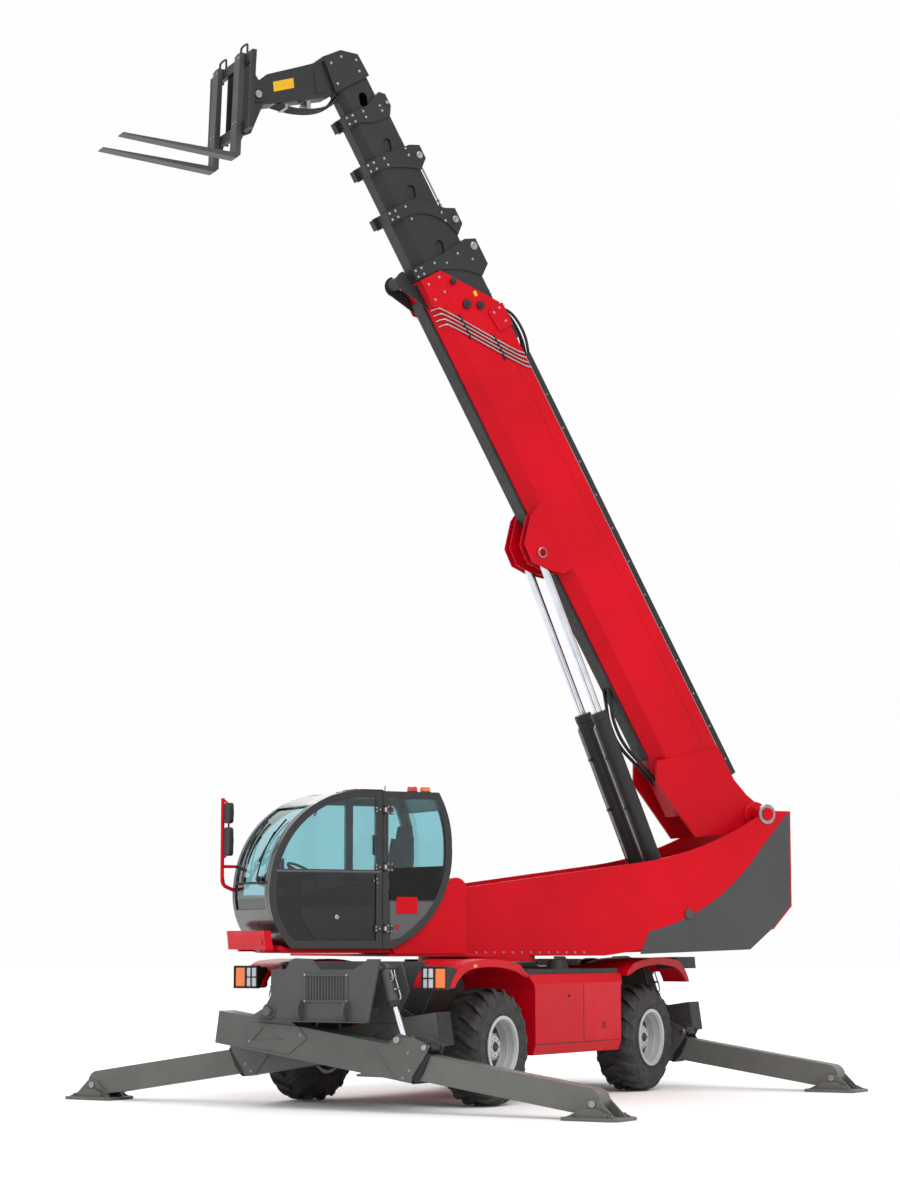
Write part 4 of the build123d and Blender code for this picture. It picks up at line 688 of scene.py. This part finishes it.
# engine hood: louvres, edge seams, grip, latches and top vents
for end, x in (("rear", -0.95), ("front", 0.35)):
    blocks(f"hood_louvre_{end}", [((x, -1.2495, 1.66 + 0.035 * i), (0.42, 0.012, 0.012)) for i in range(9)],
           on_hood, matt, 0.003)
blocks("hood_seams", [((-0.25, -1.249, 1.56), (2.04, 0.004, 0.01)), ((-0.25, -1.2465, 1.95), (2.04, 0.006, 0.01))],
       on_hood, matt, 0.0)
rods("hood_grip", [((-0.45, -1.285, 1.78), (-0.15, -1.285, 1.78))]
     + [((x, -1.245, 1.78), (x, -1.29, 1.78)) for x in (-0.44, -0.16)], 0.009, on_hood, steel)
for end, x in (("rear", -1.1), ("front", 0.6)):
    blocks(f"hood_latch_{end}", [((x, -1.252, 1.6), (0.05, 0.014, 0.09))], on_hood, black)
blocks("hood_top_vents", [((-0.25 + 0.055 * i, -0.8, 2.186), (0.02, 0.36, 0.008)) for i in range(-6, 7)],
       on_hood, matt, 0.002)

# ==== cab ====
LEFTWARD = (0, 1, 0)
SCREEN_X, SCREEN_Z, SCREEN_RADIUS = 1.792, 2.029, 1.2135  # the windscreen's arc
PILLAR_FACE = 1.2555
MIRROR_X, MIRROR_Y = 3.12, 0.34  # the mirrors' post
SEAT_Y = 0.785  # the cab's middle


def on_screen(z, y, out=0.0):
    """A point on the windscreen at a height, moved out from the pane."""
    x = SCREEN_X + (SCREEN_RADIUS ** 2 - (z - SCREEN_Z) ** 2) ** 0.5
    return (x + out * (x - SCREEN_X) / SCREEN_RADIUS, y, z + out * (z - SCREEN_Z) / SCREEN_RADIUS)


for number, root in enumerate((0.62, 0.98), 1):
    lean = 0.02 * (number - 1)
    tube(f"wiper_arm_{number}", [on_screen(2.26 + 0.09 * i, root - 0.02 * i + lean * i, 0.03) for i in range(6)],
         0.008, on_turret, black)
    tube(f"wiper_blade_{number}", [on_screen(2.42 + 0.085 * i, root - 0.09 + lean * i, 0.012) for i in range(6)],
         0.009, on_turret, matt)
    rings(f"wiper_hub_{number}", [on_screen(2.25, root)], (1, 0, 0.2),
          [(CORE, -0.004), (0.028, -0.004), (0.028, 0.022), (0.02, 0.034), (CORE, 0.034)],
          on_turret, black, 24)
blocks("screen_rail", [((2.995, SEAT_Y, 2.215), (0.02, 0.74, 0.022))], on_turret, matt, 0.006)

# hinges: leaf bolts on the pillar, plated sleeves and bolts on the door
for number, z in enumerate((1.76, 2.38, 2.96), 1):
    bolts(f"hinge_bolts_{number}", [(x, PILLAR_FACE, z + dz) for x in (1.64, 1.682) for dz in (-0.03, 0.03)],
          LEFTWARD, 0.008, on_turret, zinc)
    bolts(f"hinge_door_bolts_{number}",
          [(x, PILLAR_FACE, z + dz) for x, dz in ((1.815, -0.017), (1.815, 0.017), (1.775, 0.0))],
          LEFTWARD, 0.008, on_door, zinc)
    rings(f"hinge_sleeve_{number}", [(1.72, 1.27, z)], UP, band(0.0131, 0.0155, -0.022, 0.022), on_door, zinc, 24)
bolts("strap_bolts", [(x, 1.2495, z) for x, z in ((1.8, 2.22), (1.84, 2.24), (1.81, 2.26))], LEFTWARD, 0.007,
      on_door, zinc)
blocks("belt_bar", [((2.34, 1.251, 2.33), (1.16, 0.006, 0.018))], on_door, panel_grey, 0.002)
blocks("door_latch", [((1.845, 1.256, 2.6), (0.03, 0.016, 0.2)), ((1.845, 1.262, 2.6), (0.018, 0.02, 0.12))],
       on_door, black, 0.005)
rings("door_lock", [(2.25, 1.2425, 1.87)], LEFTWARD,
      [(CORE, 0.0), (0.026, 0.0), (0.026, 0.004), (0.018, 0.008), (CORE, 0.006)], on_door, steel, 28)
plate("door_sill_panel", [(1.84, 1.655), (1.84, 1.99), (2.66, 1.955), (2.6, 1.8), (2.5, 1.655)], 1.2375, 0.004,
      on_door, dark, 0.001)

# panels behind the pillar: black below the pane, grey with a plain bare plate and a ring at the bottom
plate("quarter_dark", [(1.66, 2.05), (1.66, 2.37), (1.045, 2.4), (1.075, 2.25), (1.14, 2.05)], 1.2425, 0.006,
      on_turret, pane_black, 0.001)
plate("quarter_panel", [(1.66, 1.64), (1.66, 2.035), (1.16, 2.035), (1.25, 1.91), (1.4, 1.77), (1.54, 1.67)],
      1.2515, 0.004, on_turret, panel_grey, 0.001)
plate("bare_badge", [(1.59, 1.91), (1.59, 2.08), (1.35, 2.08), (1.35, 1.91)], PILLAR_FACE, 0.006,
      on_turret, red, 0.002)
rings("quarter_ring", [(1.58, 1.253, 1.78)], LEFTWARD, band(0.014, 0.024, 0.0, 0.006), on_turret, red, 28)

# mirrors: the red tubes of their arm, their faces and their rims
tube("mirror_tube_outer", [(2.99, MIRROR_Y, 2.151), (3.07, MIRROR_Y, 2.18), (3.118, MIRROR_Y, 2.215)]
     + [(MIRROR_X, MIRROR_Y, z) for z in (2.3, 2.7, 3.086)], 0.0195, on_turret, red)
tube("mirror_tube_inner", [(MIRROR_X, MIRROR_Y, 3.07), (3.075, 0.36, 3.05), (3.066, 0.37, 2.97), (3.066, 0.37, 2.6),
                           (3.07, 0.36, 2.5), (MIRROR_X, MIRROR_Y, 2.47)], 0.011, on_turret, red)
tube("mirror_stay", [(x, MIRROR_Y, 2.39) for x in (2.985, 3.06, MIRROR_X)], 0.0175, on_turret, red)
for name, z, height in (("upper", 2.93, 0.19), ("lower", 2.64, 0.27)):
    face = bmesh.new()
    add_block(face, (3.0735, 0.445, z), (0.006, 0.13, height), 0.0025)
    from_bmesh(f"mirror_glass_{name}", face, on_turret, mirror_face)
    rim = [(3.0745, 0.445 + 0.072 * u * (0.99 if abs(u) >= 0.9 else 1.0), z + (height / 2 + 0.008) * v)
           for u, v, _ in circle(1.0, 28)]
    tube(f"mirror_rim_{name}", rim, 0.004, on_turret, black, closed=True)

# roof: hatch, aerial, beacons; and the bumper's field
blocks("roof_hatch", [((1.78, SEAT_Y, 3.158), (0.32, 0.5, 0.022)), ((1.86, SEAT_Y, 3.168), (0.1, 0.3, 0.03)),
                      ((1.76, 1.02, 3.168), (0.26, 0.03, 0.022))], on_turret, black, 0.008)
rods("aerial", [((1.6, 1.0, 3.148), (1.6, 1.0, 3.172)), ((1.6, 1.0, 3.17), (1.595, 1.0, 3.22))], 0.005,
     on_turret, matt, 10)
BEACON_DOME = [(CORE, 0.012), (0.05, 0.012), (0.054, 0.016), (0.052, 0.05), (0.044, 0.064), (0.025, 0.07), (CORE, 0.07)]
for name, x, colour in (("front", 1.33, red_lens), ("rear", 1.18, orange_lens)):
    place = [(x, 1.09, 3.15)]
    rings(f"beacon_dome_{name}", place, UP, BEACON_DOME, on_turret, colour, 32)
    foot = rings(f"beacon_foot_{name}", place, UP, cap(0.062, 0.011, 0.056, 0.014), on_turret, black, 32)
    if name == "front":
        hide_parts("beacons")
blocks("bumper_field", [((3.0475, 0.8, 1.645), (0.006, 0.8, 0.1))], on_turret, red, 0.002)

# ==== cab interior ====
CUSHION_STEPS = 14
CONSOLE = [(1.52, 1.607), (2.22, 1.607), (2.27, 2.12), (2.0, 2.18), (1.5, 2.24)]
COLUMN = [(2.49, 1.607), (2.67, 1.607), (2.6, 2.0), (2.55, 2.22), (2.48, 2.22)]
DASH = [(2.62, 2.16), (2.78, 2.2), (2.82, 2.26), (2.7, 2.32), (2.6, 2.28)]


def cushion(name, centre, size, pull, crown, turn):
    """A crowned pad whose sides pull in between its corners."""
    bm = bmesh.new()
    made = {}

    def corner(axis, sign, i, j):
        """The vertex at a step of a cube's face, pulled to the pad's shape; made once."""
        point = [0.0, 0.0, 0.0]
        point[axis] = sign
        point[(axis + 1) % 3] = 2 * i / CUSHION_STEPS - 1
        point[(axis + 2) % 3] = 2 * j / CUSHION_STEPS - 1
        u, v, w = point
        key = (round(u, 4), round(v, 4), round(w, 4))
        if key not in made:
            edge = max(abs(u), abs(v)) ** 6
            x = u * (1 - pull * (1 - v * v) * abs(u) ** 3)
            y = v * (1 - pull * (1 - u * u) * abs(v) ** 3)
            z = w * (1 - 0.45 * edge) + (crown * (1 - u * u) * (1 - v * v) if w > 0 else 0.0)
            made[key] = bm.verts.new((x * size[0] / 2, y * size[1] / 2, z * size[2] / 2))
        return made[key]

    for face in range(6):
        axis, sign = face // 2, 1 if face % 2 else -1
        for i in range(CUSHION_STEPS):
            for j in range(CUSHION_STEPS):
                corners = [corner(axis, sign, *step) for step in ((i, j), (i + 1, j), (i + 1, j + 1), (i, j + 1))]
                bm.faces.new(corners if sign > 0 else corners[::-1])
    place = turret @ Matrix.Translation(Vector(centre)) @ Matrix.Rotation(radians(turn), 4, "Y")
    piece = smooth(from_bmesh(name, bm, (place, "turret"), seat_cloth))
    return piece


seat = cushion("seat_cushion", (1.6, SEAT_Y, 2.135), (0.46, 0.46, 0.11), 0.05, 0.3, -4)
cushion("seat_back", (1.335, SEAT_Y, 2.45), (0.5, 0.44, 0.1), 0.05, 0.25, 79)
cushion("headrest", (1.27, SEAT_Y, 2.755), (0.13, 0.26, 0.08), 0.06, 0.3, 79)
cushion("armrest", (1.66, 0.475, 2.27), (0.36, 0.07, 0.05), 0.04, 0.2, 0)
blocks("seat_base", [((1.6, SEAT_Y, 1.66), (0.34, 0.34, 0.1)), ((1.6, SEAT_Y, 1.86), (0.24, 0.3, 0.3)),
                     ((1.6, SEAT_Y, 2.05), (0.42, 0.42, 0.06))], on_turret, matt, 0.02)
prism("side_console", CONSOLE, 0.37, 0.5, 0.012, on_turret, matt)
tube("joystick", [(2.1, 0.435, 2.15), (2.11, 0.435, 2.25), (2.14, 0.435, 2.3)], 0.014, on_turret, black)
prism("dash_column", COLUMN, SEAT_Y - 0.12, SEAT_Y + 0.12, 0.015, on_turret, matt)

on_wheel = (turret @ make_frame((2.42, SEAT_Y, 2.33), (0.866, 0, 0.5), (0, 1, 0)), "turret")
rings("steering_wheel", [(0, 0, 0)], UP, [(0.175 + u, v) for u, v, _ in circle(0.014, 10)], on_wheel,
      black, 56)
hub = bmesh.new()
for angle in (90, 210, 330):
    add_rod(hub, (0, 0, -0.012), (0.17 * cos(radians(angle)), 0.17 * sin(radians(angle)), 0), 0.011, sides=12)
add_rod(hub, (0, 0, -0.03), (0, 0, 0.015), 0.04, 0.032)
add_rod(hub, (0, 0, -0.16), (0, 0, -0.03), 0.028)
from_bmesh("steering_spokes", hub, on_wheel, black)

prism("dash_top", DASH, 0.5, 1.07, 0.01, on_turret, matt)
blocks("dash_display", [((2.6, 0.6, 2.4), (0.025, 0.2, 0.14))], on_turret, black, 0.008)
blocks("yellow_case", [((2.24, 0.43, 2.3), (0.3, 0.08, 0.08))], on_turret, yellow, 0.012)
blocks("far_post", [((1.7, 0.374, 2.6), (0.07, 0.02, 1.0)), ((1.7, 0.385, 2.72), (0.04, 0.016, 0.12))],
       on_turret, matt, 0.006)
blocks("post_handle", [((1.69, 0.395, 2.78), (0.025, 0.02, 0.1))], on_turret, red, 0.005)
blocks("floor_mat", [((2.1, SEAT_Y, 1.609), (0.9, 0.6, 0.008))], on_turret, matt, 0.003)
tube("mirror_inside", [(2.35, 0.9, 2.9), (2.35, 0.96, 2.93), (2.38, 1.02, 2.98)], 0.008, on_turret, black)
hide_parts("cab_interior")

# ==== boom ====
AXIS = -0.44  # middle line of the sections, below the pivot
BASE_FACE = 0.24  # side of the first section
PAD_BOLTS = ((7.04, -0.6), (6.87, -0.62), (7.02, -0.76), (6.84, -0.77), (6.44, -0.08), (6.28, -0.08), (6.42, -0.17))
ADJUSTERS = ((6.93, -0.46, 0.035), (6.64, -0.43, 0.05), (6.56, -0.28, 0.045))
for side, hand in SIDES:
    face, outward = hand * BASE_FACE, (0, hand, 0)
    bolts(f"tray_bolts_{side}", [(0.72 + 0.42 * i, hand * 0.18, 0.025) for i in range(12)], outward, 0.009,
          on_boom, zinc)
    blocks(f"tray_edge_{side}", [((3.18, hand * 0.181, -0.006), (5.3, 0.005, 0.01))], on_boom, silver, 0.001)
    bolts(f"pad_bolts_{side}", [(s, hand * 0.256, n) for s, n in PAD_BOLTS], outward, 0.013, on_boom, zinc)
    for number, (s, n, r) in enumerate(ADJUSTERS, 1):
        rings(f"adjuster_{side}_{number}", [(s, face, n)], outward,
              [(CORE, 0.0), (r, 0.0), (r, 0.024), (0.8 * r, 0.034), (0.35 * r, 0.034), (0.3 * r, 0.042), (CORE, 0.042)],
              on_boom, dark, 32)
    rings(f"foot_boss_{side}", [(0, hand * 0.26, 0)], outward, cap(0.15, 0.016, 0.135, 0.024, 0.072), on_boom, red, 48)
    rings(f"lift_pin_cap_{side}", [(3.83, face, -0.965)], outward, cap(0.058, 0.014, 0.048, 0.02), on_boom, steel)
    blocks(f"base_seam_{side}", [((3.6, hand * 0.2405, -0.19), (5.4, 0.003, 0.006))], on_boom, red, 0.001)

for index in range(4):
    low, high = 6.75 - 0.065 * index, 5.86 - 0.06 * index
    tube(f"base_pipe_{index + 1}", [(low, 0.19, -0.845), (low, 0.246, -0.8), (low - 0.03, 0.253, -0.74),
                                    (high + 0.06, 0.253, -0.12), (high + 0.01, 0.25, -0.04), (high, 0.2, -0.02)],
         0.009, on_boom, zinc)
blocks("pipe_clamps", [((x, 0.256, z), (0.3, 0.012, 0.02)) for x, z in ((6.43, -0.58), (6.05, -0.3))],
       on_boom, black, 0.003)
for index, y in enumerate((-0.12, -0.06, 0.0, 0.08, 0.14)):
    rise = 0.09 + 0.02 * (index % 3)
    tube(f"mouth_hose_{index + 1}", [(5.55, y, 0.02), (5.8, y, 0.05), (6.02, y, rise + 0.03),
                                     (6.3, y * 0.9, rise + 0.02), (6.44, y * 0.8, 0.02), (6.47, y * 0.8, -0.05)],
         0.017, on_boom, hose)
blocks("valve_block", [((6.18, 0.05, 0.005), (0.26, 0.22, 0.09)), ((6.18, -0.1, -0.01), (0.16, 0.06, 0.06))],
       on_boom, dark, 0.008)
bolts("valve_plugs", [(6.1 + 0.08 * i, 0.05, 0.05) for i in range(3)], UP, 0.016, on_boom, zinc)
blocks("bare_tag", [((6.7, 0.2415, -0.27), (0.06, 0.004, 0.04))], on_boom, yellow, 0.001)
for number, y in enumerate((-0.05, 0.05), 1):
    tube(f"belly_hose_{number}", [(0.75, y, -0.8), (1.1, y, -0.9), (1.45, y * 1.2, -1.02), (1.75, y, -1.0),
                                     (1.95, y, -0.92), (2.1, y, -0.87)], 0.02, on_boom, hose)

# mouths of the sections: number, end, half width, height, mouth bolts, the hump's place and rise
MOUTHS = (
    (2, 7.25, 0.232, 0.724, ((7.2, -0.56), (7.14, -0.42), (7.18, -0.24), (7.05, -0.1)), 7.175, 0.065),
    (3, 7.93, 0.208, 0.648, ((7.89, -0.56), (7.74, -0.56), (7.66, -0.18), (7.56, -0.18)), 7.525, 0.0575),
    (4, 8.5, 0.184, 0.572, ((8.46, -0.52), (8.38, -0.51), (8.46, -0.22), (8.38, -0.22)), 8.33, 0.0575),
    (5, 9.06, 0.16, 0.496, ((9.02, -0.48), (8.95, -0.48), (9.0, -0.26), (8.94, -0.26)), 9.0, 0.03),
)
CHAINS = (("lower", 2, 6.58, 6.96, 0.0), ("middle", 4, 7.71, 8.2, -0.07), ("upper", 5, 8.5, 8.88, -0.165))
for number, end, half, height, spots, hump, rise in MOUTHS:
    on_section = (boom, f"section_{number}")
    crest, low = AXIS + height / 2 + rise, AXIS - height / 2 + 0.015
    pin = [(CORE, 0.0), (0.7 * rise, 0.0), (0.7 * rise, 0.01), (0.5 * rise, 0.016), (CORE, 0.012)]
    for side, hand in SIDES:
        tag, outward = f"{number}_{side}", (0, hand, 0)
        bolts(f"mouth_bolts_{tag}", [(s, hand * half, n) for s, n in spots], outward, 0.013, on_section, zinc)
        bolts(f"slide_bolts_{tag}", [(end - 0.07 + ds, hand * (half + 0.014), low + dn)
                                     for ds in (-0.036, 0.036) for dn in (-0.04, 0.04)],
              outward, 0.013, on_section, zinc)
        rings(f"roller_pin_{tag}", [(hump, hand * half, crest)], outward, pin, on_section, steel, 28)
for tag, number, start, finish, n in CHAINS:
    on_section = (boom, f"section_{number}")
    rods(f"chain_rods_{tag}", [((start, y, n), (finish, y, n)) for y in (-0.07, 0.07)], 0.011, on_section, zinc)
    rods(f"chain_nuts_{tag}", [((start + 0.02 + shift, y, n), (start + 0.045 + shift, y, n))
                               for y in (-0.07, 0.07) for shift in (0.0, 0.05)], 0.02, on_section, steel, 6)

# ==== head and carriage ====
HEAD_BOLTS = ((1.56, 11.2), (1.74, 11.21), (1.86, 11.12), (1.78, 10.9), (1.52, 11.08))
NECK_RIB = [(1.9, 10.8), (2.02, 10.77), (2.05, 11.02), (1.95, 11.08)]
HOOP = ((0.2, 0.325), (0.2, 0.43), (0.22, 0.455), (0.36, 0.455), (0.38, 0.43), (0.38, 0.325))
for side, hand in SIDES:
    outward = (0, hand, 0)
    bolts(f"head_bolts_{side}", [(x, hand * 0.15, z) for x, z in HEAD_BOLTS], outward, 0.014, on_neck, zinc)
    prism(f"neck_rib_{side}", NECK_RIB, hand * 0.109 - 0.004, hand * 0.109 + 0.004, 0.002, on_neck, dark)
    rings(f"tilt_pin_cap_{side}", [(2.72, hand * 0.16, 10.64)], outward, cap(0.042, 0.01, 0.034, 0.016),
          on_neck, steel, 32)
plate("neck_bare_plate", [(2.53, 10.82), (2.29, 10.9), (2.28, 10.79), (2.52, 10.71)], 0.1065, 0.003,
      on_neck, yellow)
for number, y in enumerate((-0.07, -0.02, 0.03, 0.08), 1):
    tube(f"neck_hose_{number}", [(1.72, y, 10.84), (1.78, y, 10.7), (1.95, y * 1.1, 10.6), (2.2, y, 10.56),
                                    (2.42, y, 10.58), (2.52, y, 10.6)], 0.015, on_neck, hose)
    rods(f"neck_fitting_{number}", [((2.5, y, 10.595), (2.56, y, 10.605)), ((1.7, y, 10.87), (1.725, y, 10.82))],
         0.018, on_neck, zinc, 12)
blocks("neck_clamp", [((2.1, 0, 10.63), (0.05, 0.2, 0.09)), ((2.36, 0, 10.58), (0.04, 0.19, 0.05))],
       on_neck, steel, 0.006)
for side, hand in SIDES:
    tube(f"carriage_hoop_{side}", [(0.24, hand * y, z) for y, z in HOOP], 0.012, on_carriage, dark)
    bolts(f"fork_bolts_{side}", [(0.319, hand * 0.3 + dy, z) for dy in (-0.04, 0.04) for z in (0.29, -0.42)],
          (1, 0, 0), 0.012, on_carriage, zinc)
    rings(f"tilt_ring_{side}", [(0, hand * 0.14, 0)], (0, hand, 0), cap(0.09, 0.01, 0.082, 0.014, 0.054),
          on_carriage, dark)
blocks("fork_hooks", [((0.262, y, z), (0.1, 0.11, 0.03)) for y in (-0.3, 0.3) for z in (0.336, -0.532)],
       on_carriage, dark, 0.006)
blocks("carriage_ribs", [((0.2, y, z), (0.05, 0.014, 0.1)) for y in (-0.4, -0.2, 0.2, 0.4) for z in (0.275, -0.47)],
       on_carriage, dark, 0.003)

# ==== lift cylinders ====
BARREL_LENGTH = 2.42
LIFT_GLAND = [(0.047, -0.012), (0.082, -0.012), (0.097, 0.0), (0.097, 0.07), (0.0925, 0.078), (0.0925, 0.002),
              (0.047, -0.002)]
foot_x = (lift.inverted() @ (turret @ Vector((LIFT_FOOT_X, 0, LIFT_FOOT_Z)))).x
barrel_top = foot_x - BARREL_LENGTH
for side, hand in SIDES:
    y = hand * 0.175
    rings(f"lift_gland_{side}", [(barrel_top, y, 0)], (1, 0, 0), LIFT_GLAND, on_barrels, dark, 48)
    tube(f"lift_pipe_{side}", [(barrel_top + 0.12, y, 0.088), (barrel_top + 0.12, y, 0.118),
                               (barrel_top + 0.22, y, 0.12), (foot_x - 0.4, y, 0.12), (foot_x - 0.32, y, 0.118),
                               (foot_x - 0.3, y, 0.088)], 0.011, on_barrels, steel)
    blocks(f"lift_clamps_{side}", [((barrel_top + x, y, 0.107), (0.03, 0.05, 0.04)) for x in (0.5, 1.1, 1.7)],
           on_barrels, black)
    rings(f"lift_band_{side}", [(foot_x - 0.14, y, 0)], (1, 0, 0), band(0.0915, 0.098, 0.0, 0.03),
          on_barrels, dark, 48)

# ==== chassis extras ====
DOME = [(CORE, 0.0), (0.14, 0.0), (0.14, 0.05), (0.12, 0.075), (0.06, 0.09), (CORE, 0.092)]
rings("deck_dome_rear", [(-1.6, 0.55, 1.36)], UP, DOME, on_chassis, black)
blocks("rear_bar_brackets", [((-2.86, y, 1.28), (0.03, 0.05, 0.14)) for y in (-1.0, 1.0)],
       on_chassis, black, 0.006)
for side, hand in SIDES:
    tube(f"axle_hose_{side}", [(1.25, hand * 0.3, 0.9), (1.4, hand * 0.42, 0.82), (1.55, hand * 0.5, 0.74),
                               (1.6, hand * 0.52, 0.68)], 0.014, on_chassis, hose)

# ==== camera and light ====
CAMERA_PLACE = (25.485, 14.67, 1.606)  # from the slewing axis, on the ground
CAMERA_RISE, CAMERA_TURN = 7.335, 210.485  # degrees above level, and round from +X
CAMERA_HEIGHT = 24.92  # degrees that the picture is tall


def add_light(name, kind, place, target, power, **settings):
    """A soft light aimed at a point from the side of a place."""
    light = bpy.data.lights.new(name, kind)
    light.energy = power
    for key, value in settings.items():
        setattr(light, key, value)
    lamp = link(name, light)
    lamp.rotation_euler = (Vector(target) - Vector(place)).to_track_quat("-Z", "Y").to_euler()
    return lamp


def pale_floor():
    """A wide pale floor."""
    n = Nodes("floor")
    n.set(base_color=n.mix(n.noise(0.2, 2.0), (0.86, 0.86, 0.86), (0.9, 0.9, 0.9)), roughness=0.85)
    bm = bmesh.new()
    bmesh.ops.create_circle(bm, cap_ends=True, segments=96, radius=220)
    floor = link("floor", to_mesh("floor", bm))
    floor.data.materials.append(n.material)
    floor.location = (0, 0, -0.002)


camera_data = bpy.data.cameras.new("camera")
camera_data.sensor_fit = "VERTICAL"
camera_data.angle_y = radians(CAMERA_HEIGHT)
camera_data.clip_end = 500
camera = link("camera", camera_data)
camera.location = chassis @ Vector(CAMERA_PLACE)
camera.rotation_euler = (radians(90 + CAMERA_RISE), 0, radians(CAMERA_TURN - 90))
scene.camera = camera

RIM_PLACE = (-22, -16, 20)
add_light("key", "SUN", (14, 24, 28), (0, 0, 0), 1.4, angle=radians(40))
add_light("fill", "SUN", (30, -12, 14), (0, 0, 0), 0.5, angle=radians(60))
add_light("rim", "AREA", RIM_PLACE, (0, 0, 5), 2500, size=12).location = RIM_PLACE
pale_floor()

world = bpy.data.worlds.new("studio")
world.use_nodes = True
backdrop = world.node_tree.nodes["Background"].inputs
backdrop["Color"].default_value = (1.0, 1.0, 1.0, 1)
backdrop["Strength"].default_value = 0.99
scene.world = world
scene.view_settings.view_transform = "Standard"
